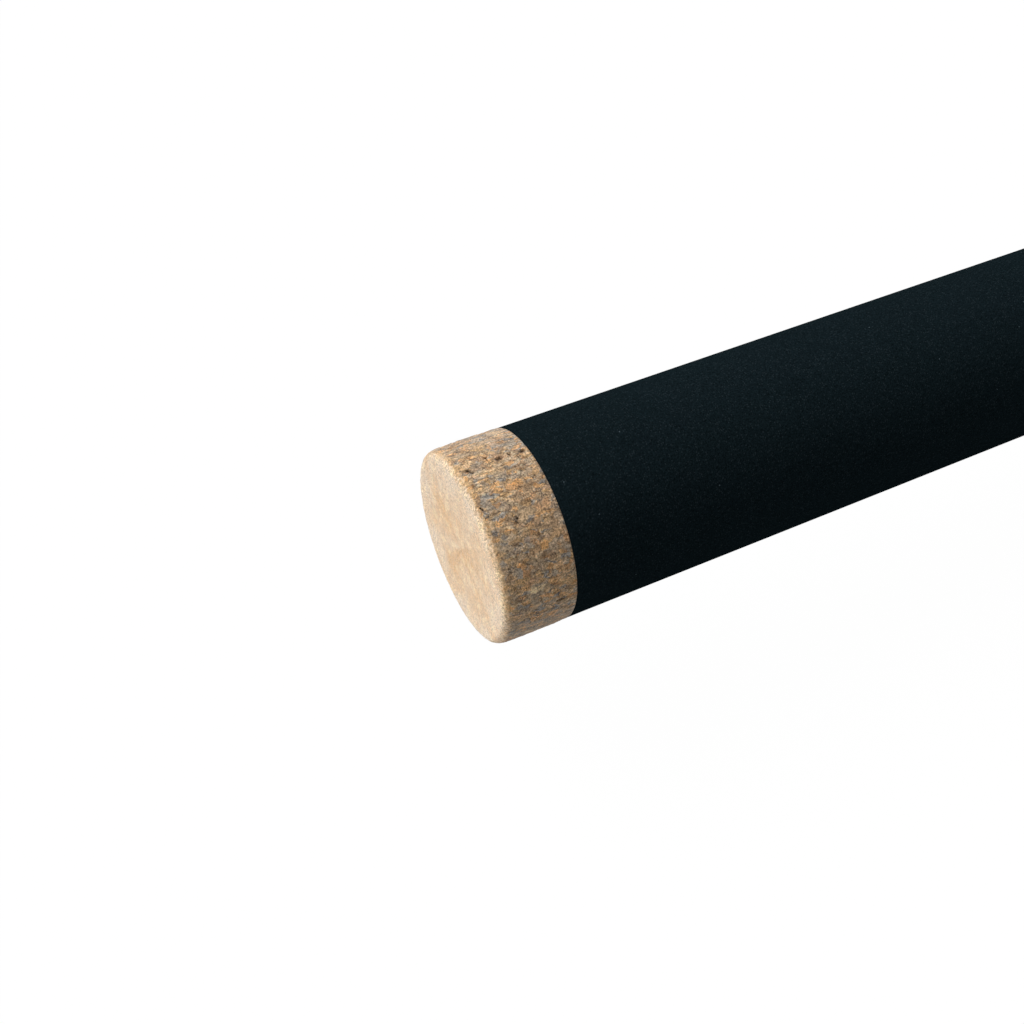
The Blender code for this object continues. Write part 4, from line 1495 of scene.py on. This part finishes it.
        rows = steps_between(start + self.nut_chamfer, end - self.nut_chamfer, self.row / 2)
        outline = walls([start] + rows + [end], [start, end], self.nut_chamfer / (radius - self.radius))
        shape = sleeve(outline, lambda x, a: self.radius + self.clearance, skin, self.nut_segments)
        mesh = finished_mesh(shape, "lock_nut_grooved")
        add_piece("lock_nut_grooved", mesh, alloy, self.nut_metal.slot, Body.NUT, "lock_nut")

    def build_check(self, alloy: bpy.types.Material) -> None:
        """Metal ring in front of the fore grip, with one fine groove round it.

        Args:
            alloy: Its material.
        """
        start, end = node_ends("winding_check")
        radius = node_radius("winding_check", start)
        length = end - start
        edge = length / 3
        groove = self.check_groove
        outline = [(start, radius - groove), (start + groove, radius)]
        middle = start + length * self.check_groove_place
        outline += [(middle - groove, radius), (middle, radius - groove), (middle + groove, radius)]
        outline += arc((end - edge, radius - edge), edge, 90, 0, self.check_edge_steps)
        corners = (vert.co for vert in frame["nodes"]["winding_check"].data.vertices)
        bore = min(math.hypot(co.y, co.z) for co in corners)
        outline += [(end, bore), (start, bore)]
        mesh = finished_mesh(turned(outline, self.segments), "winding_check_turned")
        add_piece(
            "winding_check_turned", mesh, alloy, self.nut_metal.slot, Body.BUTT, "winding_check"
        )


@dataclass
class Tube:
    """A tapered blank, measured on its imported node."""

    node: str
    body: Body
    start_wall: float
    end_wall: float

    def __post_init__(self) -> None:
        """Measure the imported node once."""
        self.start, self.end = node_ends(self.node)
        self.start_radius = node_radius(self.node, self.start)
        self.end_radius = node_radius(self.node, self.end)

    def share(self, station: float) -> float:
        """How far along the blank a station lies."""
        return (station - self.start) / (self.end - self.start)

    def outer(self, station: float) -> float:
        """Outer radius at a station."""
        return blend(self.start_radius, self.end_radius, self.share(station))

    def bore(self, station: float) -> float:
        """Bore radius at a station."""
        return self.outer(station) - blend(self.start_wall, self.end_wall, self.share(station))


@dataclass(frozen=True)
class Whipping:
    """Height of thread and the epoxy over it, which domes at both ends of a winding."""

    height: float = 0.0004
    end_share: float = 0.4
    ramp: float = 0.0016

    def over(self, station: float, start: float, end: float) -> float:
        """Height at a station between a winding's ends."""
        near = min(min(station - start, end - station) / self.ramp, 1.0)
        return self.height * blend(self.end_share, 1.0, math.sqrt(max(0.0, 1 - (1 - near) ** 2)))


@dataclass(frozen=True)
class Foot:
    """Place and size of a guide's foot: its thick end, its thin end, and its underside's height."""

    start: float
    end: float
    floor: float
    height: float
    width: float


BUTT = Tube("butt_blank", Body.BUTT, 0.0011, 0.0009)
MID = Tube("mid_blank", Body.MID, 0.0009, 0.0007)
# The wall of the tip's blank thins as its diameter does, from 6.2 mm to 1.8 mm.
TIP = Tube("tip_blank", Body.TIP, 0.0007, 0.0007 * 0.0018 / 0.0062)


@dataclass
class Blanks:
    """The three carbon tubes, their spigots and the windings at their joints."""

    carbon: LacqueredCarbon = LacqueredCarbon()
    ground: GroundCarbon = GroundCarbon()
    thread: LacqueredThread = LacqueredThread()
    segments: int = 64
    row: float = 0.05
    solid_tip: float = 0.420
    clearance: float = 0.0003
    nose: float = 0.0015
    nose_flat: float = 0.7
    nose_steps: int = 3
    under_thread: float = 0.00015
    whipping: Whipping = Whipping()
    winding_row: float = 0.0002

    def build(self) -> None:
        """Build the blanks, spigots and windings."""
        carbon = self.carbon.material()
        for tube in (BUTT, MID, TIP):
            self.build_tube(tube, carbon)
        ground = self.ground.material()
        self.build_spigot("lower_spigot", BUTT, MID, ground)
        self.build_spigot("upper_spigot", MID, TIP, ground)
        thread = self.thread.material()
        for name, tube in (
            ("butt_ferrule_winding", BUTT),
            ("mid_socket_winding", MID),
            ("mid_ferrule_winding", MID),
            ("tip_socket_winding", TIP),
        ):
            self.build_winding(name, tube, thread)

    def build_tube(self, tube: Tube, carbon: bpy.types.Material) -> None:
        """Tapered tube with softened ends; the tip's bore closes where its solid end begins.

        Args:
            tube: The blank.
            carbon: Its material.
        """
        start, end = tube.start, tube.end
        soft = tube.end_wall / 3
        rows = steps_between(start + soft, end - soft, self.row)
        outline = [(start, tube.outer(start) - soft)] + [(x, tube.outer(x)) for x in rows]
        outline.append((end, tube.outer(end) - soft))
        if tube is TIP:
            stop = end - self.solid_tip
            outline = [(end, 0.0)] + list(reversed(outline))
            outline += [(x, tube.bore(x)) for x in (start, stop)] + [(stop + tube.bore(stop), 0.0)]
        else:
            outline += [(end, tube.bore(end)), (start, tube.bore(start))]
        mesh = finished_mesh(turned(outline, self.segments), f"{tube.node}_lacquered")
        add_piece(f"{tube.node}_lacquered", mesh, carbon, self.carbon.slot, tube.body, tube.node)

    def build_spigot(self, name: str, lower: Tube, upper: Tube, ground: bpy.types.Material) -> None:
        """Spigot fixed in the lower blank, tapered to the upper blank's bore.

        Args:
            name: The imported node.
            lower: The blank that it is fixed in.
            upper: The blank that it plugs into.
            ground: Its material.
        """
        start, end = node_ends(name)
        shoulder, socket = lower.end, upper.start
        gap = self.clearance
        outline = [
            (start, 0.0),
            (start, lower.bore(shoulder) - gap),
            (shoulder, lower.bore(shoulder) - gap),
            (socket, upper.bore(socket) - gap),
            (end - self.nose, upper.bore(end) - gap),
        ]
        for i in range(1, self.nose_steps + 1):
            turn = math.radians(90 * i / self.nose_steps)
            rounded = self.nose_flat + (1 - self.nose_flat) * math.cos(turn)
            radius = (upper.bore(end) - gap) * rounded
            outline.append((end - self.nose * (1 - math.sin(turn)), radius))
        outline.append((end, 0.0))
        mesh = finished_mesh(turned(outline, self.segments), f"{name}_ground")
        add_piece(f"{name}_ground", mesh, ground, self.ground.slot, lower.body, name)

    def build_winding(self, name: str, tube: Tube, thread: bpy.types.Material) -> None:
        """Winding that strengthens the end of a blank.

        Args:
            name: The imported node.
            tube: The blank that it is on.
            thread: Its material.
        """
        start, end = node_ends(name)
        base = self.under_thread
        outline = [
            (x, tube.outer(x) + base + self.whipping.over(x, start, end))
            for x in steps_between(start, end, self.winding_row)
        ]
        outline += [(x, tube.outer(x) + base) for x in (end, start)]
        mesh = finished_mesh(turned(outline, self.segments), f"{name}_whipped")
        add_piece(f"{name}_whipped", mesh, thread, self.thread.slot, tube.body, name)


@dataclass
class Guides:
    """Single-foot guides with ceramic rings, the tip-top and the folding keeper."""

    steel: PolishedSteel = PolishedSteel()
    ceramic: PolishedCeramic = PolishedCeramic()
    thread: LacqueredThread = LacqueredThread()
    fine_gap: float = 0.00015
    ring_segments: int = 72
    winding_segments: int = 56
    winding_row: float = 0.0003
    whipping: Whipping = Whipping()
    band_thickness: float = 0.0006
    band_width: float = 0.0014
    band_round: float = 0.00018
    band_edge_steps: int = 3
    wire_base: float = 0.0006
    wire_ratio: float = 0.04
    leg_angle: float = math.radians(40)
    leg_bow: float = 0.12
    foot_width_base: float = 0.0006
    foot_width_ratio: float = 0.1
    foot_end: float = 0.0003
    foot_round: float = 0.3
    foot_rows: int = 14
    foot_sides: int = 20
    foot_heel: float = 0.6
    foot_narrows_at: float = 0.6
    foot_narrows_by: float = 0.35
    runout: float = 0.0025
    bore_row: float = 0.002
    insert_wall_base: float = 0.0006
    insert_wall_ratio: float = 0.07
    insert_width_ratio: float = 1.25
    insert_flatness: float = 0.72
    insert_points: int = 20
    tube_segments: int = 48
    tip_tube_wall: float = 0.0005
    tip_tube_length: float = 0.010
    tip_tube_edge: float = 0.0001
    tip_dome: float = 0.6
    tip_dome_steps: int = 6
    tip_cap: float = 0.0008
    tip_leg_gap: float = 0.0003
    keeper_wire: float = 0.0010
    keeper_wire_sides: int = 16
    keeper_clearance: float = 0.0004
    keeper_eye_wall: float = 0.0007
    keeper_eye_width: float = 0.0012
    keeper_foot_width: float = 0.0020
    keeper_foot_height: float = 0.0008

    def build(self) -> None:
        """Build every guide, then the tip-top and the keeper."""
        self.steel_finish = self.steel.material()
        self.ceramic_finish = self.ceramic.material()
        self.thread_finish = self.thread.material()
        tubes = [BUTT] + [MID] * 4 + [TIP] * 6
        for index, tube in enumerate(tubes, start=1):
            self.build_guide(f"guide_{index}", tube)
        self.build_tip_top()
        self.build_keeper()

    def ring_facts(self, name: str) -> tuple[Vector, float]:
        """Centre and outer radius of a ceramic ring."""
        low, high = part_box(name)
        return (low + high) / 2, (high.y - low.y) / 2

    def band(self, centre: Vector, radius: float) -> bmesh.types.BMesh:
        """Round band that holds a ceramic ring.

        Args:
            centre: The ring's centre.
            radius: The ceramic ring's radius.

        Returns:
            The band.
        """
        inside = radius + self.fine_gap
        outside = inside + self.band_thickness
        half, soft, steps = self.band_width / 2, self.band_round, self.band_edge_steps
        outline = [(-half, inside), (-half, outside - soft)]
        outline += arc((-half + soft, outside - soft), soft, 180, 90, steps)[1:]
        outline += arc((half - soft, outside - soft), soft, 90, 0, steps)
        outline.append((half, inside))
        shape = turned(outline, self.ring_segments)
        bmesh.ops.translate(shape, verts=shape.verts, vec=centre)
        return shape

    def insert(self, name: str, body: Body) -> None:
        """Ceramic ring with a rounded, polished bore.

        Args:
            name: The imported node.
            body: The body that it moves with.
        """
        centre, radius = self.ring_facts(name)
        wall = self.insert_wall_base + self.insert_wall_ratio * 2 * radius
        half_width = wall * self.insert_width_ratio / 2
        outline = []
        for i in range(self.insert_points):
            turn = math.tau * i / self.insert_points
            along, out = math.cos(turn), math.sin(turn)
            flat = self.insert_flatness if out > 0 else 1.0
            outline.append(
                (
                    half_width * math.copysign(abs(along) ** flat, along),
                    radius - wall / 2 + wall / 2 * math.copysign(abs(out) ** flat, out),
                )
            )
        shape = turned(outline, self.ring_segments)
        bmesh.ops.translate(shape, verts=shape.verts, vec=centre)
        mesh = finished_mesh(shape, f"{name}_ceramic")
        add_piece(f"{name}_ceramic", mesh, self.ceramic_finish, self.ceramic.slot, body, name)

    def legs(
        self, centre: Vector, radius: float, foot: Vector, spread: float, wire_radius: float
    ) -> list[bmesh.types.BMesh]:
        """Two wires from the lower flanks of a band to its foot, bowed a little outwards.

        Args:
            centre: The band's centre.
            radius: The ceramic ring's radius.
            foot: Where the wires meet the foot, midway between them.
            spread: How far each lies from the middle there.
            wire_radius: The wire's radius.

        Returns:
            The two wires.
        """
        hold = radius + self.fine_gap + self.band_thickness / 2
        made = []
        for side in (-1, 1):
            top = centre + Vector(
                (0, side * hold * math.sin(self.leg_angle), hold * math.cos(self.leg_angle))
            )
            end = foot + Vector((0, side * spread, 0))
            bow = self.leg_bow * (end.z - top.z)
            middle = top.lerp(end, 0.5) + Vector((0, side * bow, 0))
            made.append(wire([top, middle, end], wire_radius))
        return made

    def foot_shape(self, foot: Foot) -> bmesh.types.BMesh:
        """Foot ground to a thin end, flat underneath.

        Args:
            foot: Its place and size.

        Returns:
            The foot, closed.
        """
        length = foot.end - foot.start
        rounded = foot.start + foot.height * self.foot_round
        rings = []
        for station in [foot.start] + steps_between(rounded, foot.end, length / self.foot_rows):
            share = (station - foot.start) / length
            top = blend(foot.height, self.foot_end, share)
            past = max(0.0, share - self.foot_narrows_at) / (1 - self.foot_narrows_at)
            narrow = 1 - self.foot_narrows_by * past
            if station == foot.start:
                top, narrow = top * self.foot_heel, self.foot_heel
            place = Matrix.Translation((station, 0, -foot.floor))
            turn = Matrix.Rotation(math.pi / 2, 4, "Y")
            rings.append(place @ turn @ Matrix.Diagonal((top, foot.width / 2 * narrow, 1, 1)))
        shape = loft(rings, self.foot_sides)
        for vert in shape.verts:
            vert.co.z = min(vert.co.z, -foot.floor)
        bmesh.ops.remove_doubles(shape, verts=shape.verts, dist=MERGE_DISTANCE)
        return shape

    def build_guide(self, name: str, tube: Tube) -> None:
        """One guide: its frame, its ceramic ring and the winding over its foot.

        Args:
            name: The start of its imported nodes' names.
            tube: The blank that it is on.
        """
        centre, radius = self.ring_facts(f"{name}_ring")
        ring = 2 * radius
        thick = self.wire_base + self.wire_ratio * ring
        floor = tube.outer(centre.x) + self.fine_gap
        end = node_ends(f"{name}_frame")[1]
        reach = (-centre.z - floor) / 2
        width = self.foot_width_base + self.foot_width_ratio * ring
        meet = Vector((centre.x + reach, 0, -floor - thick / 2))
        shapes = [self.band(centre, radius)]
        shapes += self.legs(centre, radius, meet, width / 3, thick / 2)
        foot = Foot(centre.x + reach - thick, end, floor, thick, width)
        shapes.append(self.foot_shape(foot))
        mesh = united(f"{name}_frame_steel", shapes)
        add_piece(
            f"{name}_frame_steel", mesh, self.steel_finish, self.steel.slot, tube.body, f"{name}_frame"
        )
        self.insert(f"{name}_ring", tube.body)
        self.build_foot_winding(f"{name}_winding", tube, foot)

    def build_foot_winding(self, name: str, tube: Tube, foot: Foot) -> None:
        """Thread drawn tight over the blank and a foot, so that it tents at the foot's sides.

        Args:
            name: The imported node.
            tube: The blank that it is on.
            foot: The foot under it.
        """
        start, end = node_ends(name)

        def foot_top(station: float) -> float:
            """Height of the foot's top, which runs out with the winding.

            Args:
                station: Where it is.

            Returns:
                The height over the foot's underside.
            """
            share = min((station - foot.start) / (foot.end - foot.start), 1.0)
            fade = eased((end - station) / self.runout)
            return blend(foot.height, self.foot_end, share) * fade

        def tented(station: float, angle: float, clear: float) -> float:
            """Radius of a skin drawn tight over the blank and the foot's two corners.

            Args:
                station: Where it is.
                angle: The angle from the reel's side.
                clear: How far it keeps from what it covers.

            Returns:
                The radius.
            """
            around = tube.outer(station) + clear
            corner = Vector((foot.floor + foot_top(station) + clear, foot.width / 2 + clear))
            reach = corner.length
            if reach <= around:
                return around
            at = math.atan2(corner.y, corner.x)
            tangent = at + math.acos(around / reach)
            turn = abs(angle)
            if turn <= at:
                return corner.x / math.cos(turn)
            if turn >= tangent:
                return around
            return around / math.cos(tangent - turn)

        def skin(station: float, angle: float) -> float:
            """Radius of the lacquer at a station and an angle."""
            return tented(station, angle, self.fine_gap + self.whipping.over(station, start, end))

        def bore(station: float, angle: float) -> float:
            """Radius of the thread's underside at a station and an angle."""
            return tented(station, angle, self.fine_gap)

        rows = steps_between(start, end, self.winding_row)
        outline = walls(rows, steps_between(start, end, self.bore_row))
        shape = sleeve(outline, bore, skin, self.winding_segments)
        mesh = finished_mesh(shape, f"{name}_whipped")
        add_piece(f"{name}_whipped", mesh, self.thread_finish, self.thread.slot, tube.body, name)

    def build_tip_top(self) -> None:
        """Tube over the end of the tip, with a ring on two legs."""
        centre, radius = self.ring_facts("tip_top_ring")
        start = node_ends("tip_top_frame")[0]
        end = TIP.end
        inside = TIP.outer(end - self.tip_tube_length) + self.fine_gap
        outside = inside + self.tip_tube_wall
        dome = outside * self.tip_dome
        shell_end = end + self.fine_gap + self.tip_cap
        outline = [(shell_end, 0.0)]
        for i in range(1, self.tip_dome_steps + 1):
            turn = math.radians(90 * i / self.tip_dome_steps)
            outline.append((shell_end - dome * (1 - math.cos(turn)), outside * math.sin(turn)))
        edge = self.tip_tube_edge
        outline += [(start + edge, outside), (start, outside - edge), (start, inside)]
        outline += [(end + self.fine_gap, TIP.outer(end) + self.fine_gap), (end + self.fine_gap, 0.0)]
        thick = self.wire_base + self.wire_ratio * 2 * radius
        meet = Vector((end, 0, -(outside - thick / 4)))
        shapes = [turned(outline, self.tube_segments), self.band(centre, radius)]
        shapes += self.legs(centre, radius, meet, thick / 2 + self.tip_leg_gap, thick / 2)
        mesh = united("tip_top_frame_steel", shapes)
        add_piece(
            "tip_top_frame_steel", mesh, self.steel_finish, self.steel.slot, Body.TIP, "tip_top_frame"
        )
        self.insert("tip_top_ring", Body.TIP)

    def build_keeper(self) -> None:
        """Folding ring in the eye of a small bracket that is wound on to the blank."""
        joint = next(joint for joint in frame["joints"] if joint["name"] == "keeper_swing")
        pivot = Vector(joint["pos_m"])
        eye_bore = self.keeper_wire / 2 + self.keeper_clearance
        eye_outside = eye_bore + self.keeper_eye_wall
        half, soft = self.keeper_eye_width / 2, self.keeper_eye_wall / 4
        outline = [(-half, eye_bore + soft), (-half, eye_outside - soft), (-half + soft, eye_outside)]
        outline += [(half - soft, eye_outside), (half, eye_outside - soft), (half, eye_bore + soft)]
        outline += [(half - soft, eye_bore), (-half + soft, eye_bore)]
        eye = turned(outline, self.tube_segments)
        turn = Matrix.Translation(pivot) @ Matrix.Rotation(math.pi / 2, 4, "Z")
        bmesh.ops.transform(eye, matrix=turn, verts=eye.verts)
        end = node_ends("keeper_bracket")[1]
        floor = BUTT.outer(pivot.x) + self.fine_gap
        start = pivot.x + eye_bore
        foot = Foot(start, end, floor, self.keeper_foot_height, self.keeper_foot_width)
        mesh = united("keeper_bracket_steel", [eye, self.foot_shape(foot)])
        add_piece(
            "keeper_bracket_steel", mesh, self.steel_finish, self.steel.slot, Body.BUTT, "keeper_bracket"
        )
        self.build_foot_winding("keeper_winding", BUTT, foot)
        low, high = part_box("keeper_ring")
        thick = self.keeper_wire / 2
        radius = (high.y - low.y) / 2 - thick
        circle = arc((0, radius), thick, 0, 360, self.keeper_wire_sides)[:-1]
        ring = turned(circle, self.ring_segments)
        bmesh.ops.translate(ring, verts=ring.verts, vec=pivot - Vector((0, 0, radius)))
        mesh = finished_mesh(ring, "keeper_ring_steel")
        add_piece(
            "keeper_ring_steel", mesh, self.steel_finish, self.steel.slot, Body.KEEPER, "keeper_ring"
        )


@dataclass
class Studio:
    """Pale floor, two soft suns, a dim white surround and the photograph's camera."""

    camera_place: tuple[float, float, float] = (-0.0430, -0.1016, 0.1254)
    camera_forward: tuple[float, float, float] = (0.30379, 0.6099, -0.7319)
    lens_mm: float = 45.4
    sensor_mm: float = 36.0
    nearest: float = 0.01
    floor_size: float = 40.0
    floor_cells: int = 8
    floor_colour: str = "#b4b4b4"
    floor_white: float = 0.97
    floor_glow: float = 1.02
    floor_gap: float = 0.0003
    key_from: tuple[float, float, float] = (-0.35, 0.45, 0.82)
    key_strength: float = 2.35
    side_from: tuple[float, float, float] = (-0.97, 0.10, 0.20)
    side_strength: float = 2.0
    softness: float = math.radians(40)
    surround: float = 0.2

    def build(self) -> None:
        """Build the studio round the rod."""
        bpy.context.scene.view_settings.view_transform = "Standard"
        self.build_camera()
        self.build_floor()
        self.build_surround()
        self.add_sun("key_sun", self.key_from, self.key_strength)
        self.add_sun("side_sun", self.side_from, self.side_strength)

    def build_camera(self) -> None:
        """Camera at the photograph's place, level from side to side."""
        data = bpy.data.cameras.new("photo_camera")
        data.lens = self.lens_mm
        data.sensor_width = self.sensor_mm
        data.clip_start = self.nearest
        camera = bpy.data.objects.new("photo_camera", data)
        camera.location = self.camera_place
        camera.rotation_euler = Vector(self.camera_forward).to_track_quat("-Z", "Y").to_euler()
        bpy.context.scene.collection.objects.link(camera)
        bpy.context.scene.camera = camera

    def build_floor(self) -> None:
        """Floor just under the lowest guide, white to the eye and pale to the light."""
        recipe = Recipe("studio floor")
        paint = recipe.finish(Base_Color=self.floor_colour, Roughness=0.9, Specular_IOR_Level=0.0)
        white = recipe.add("Emission", Strength=self.floor_glow)
        output = recipe.tree.nodes["Material Output"].inputs["Surface"]
        self.show_white(recipe.tree, recipe.shader, white, output, self.floor_white)
        shape = bmesh.new()
        cells = self.floor_cells
        bmesh.ops.create_grid(shape, x_segments=cells, y_segments=cells, size=self.floor_size / 2)
        bmesh.ops.translate(shape, verts=shape.verts, vec=(0, 0, cad_box[0].z - self.floor_gap))
        mesh = bpy.data.meshes.new("studio_floor")
        shape.to_mesh(mesh)
        shape.free()
        mesh.materials.append(paint)
        floor = bpy.data.objects.new("studio_floor", mesh)
        bpy.context.scene.collection.objects.link(floor)
        floor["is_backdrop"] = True

    def build_surround(self) -> None:
        """World that is white to the eye and lights the rod dimly from all round."""
        world = bpy.data.worlds.new("studio_surround")
        world.use_nodes = True
        bpy.context.scene.world = world
        tree = world.node_tree
        dim = add_node(tree, "Background", "#ffffff", self.surround)
        white = add_node(tree, "Background", "#ffffff")
        self.show_white(tree, dim, white, tree.nodes["World Output"].inputs["Surface"], 1.0)

    def show_white(
        self,
        tree: bpy.types.NodeTree,
        lit: bpy.types.Node,
        white: bpy.types.Node,
        output: bpy.types.NodeSocket,
        share: float,
    ) -> None:
        """Show a white shader to the eye, in gloss and through glass too, and the lit one to the rest.

        Args:
            tree: The tree that both shaders are in.
            lit: The shader that lights the rod and takes its shadow.
            white: The shader that is seen.
            output: The socket that takes the result.
            share: How much of what is seen is white.
        """
        rays = add_node(tree, "LightPath").outputs
        seen = rays["Is Camera Ray"]
        for ray in ("Is Glossy Ray", "Is Transmission Ray"):
            seen = add_node(tree, "Math", seen, rays[ray], operation="ADD", use_clamp=True)
        seen = add_node(tree, "Math", seen, share, operation="MULTIPLY")
        fill_socket(tree, output, add_node(tree, "MixShader", seen, lit, white))

    def add_sun(self, name: str, source: tuple[float, float, float], strength: float) -> None:
        """Light the whole rod evenly and softly from one direction.

        Args:
            name: The light's name.
            source: The direction that it shines from.
            strength: Its strength.
        """
        data = bpy.data.lights.new(name, "SUN")
        data.energy = strength
        data.angle = self.softness
        sun = bpy.data.objects.new(name, data)
        sun.rotation_euler = Vector(source).to_track_quat("Z", "Y").to_euler()
        bpy.context.scene.collection.objects.link(sun)


def main() -> None:
    """Dress the rod, one sub-assembly after another."""
    logging.basicConfig(level=logging.INFO, format="%(name)s: %(message)s")
    Studio().build()
    for assembly in (Handle(), ReelSeat(), Blanks(), Guides()):
        assembly.build()
    boxes = {"cad": cad_box, "scene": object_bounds()}
    {name: [list(corner) for corner in box] for name, box in boxes.items()}


if __name__ == "__main__":
    main()
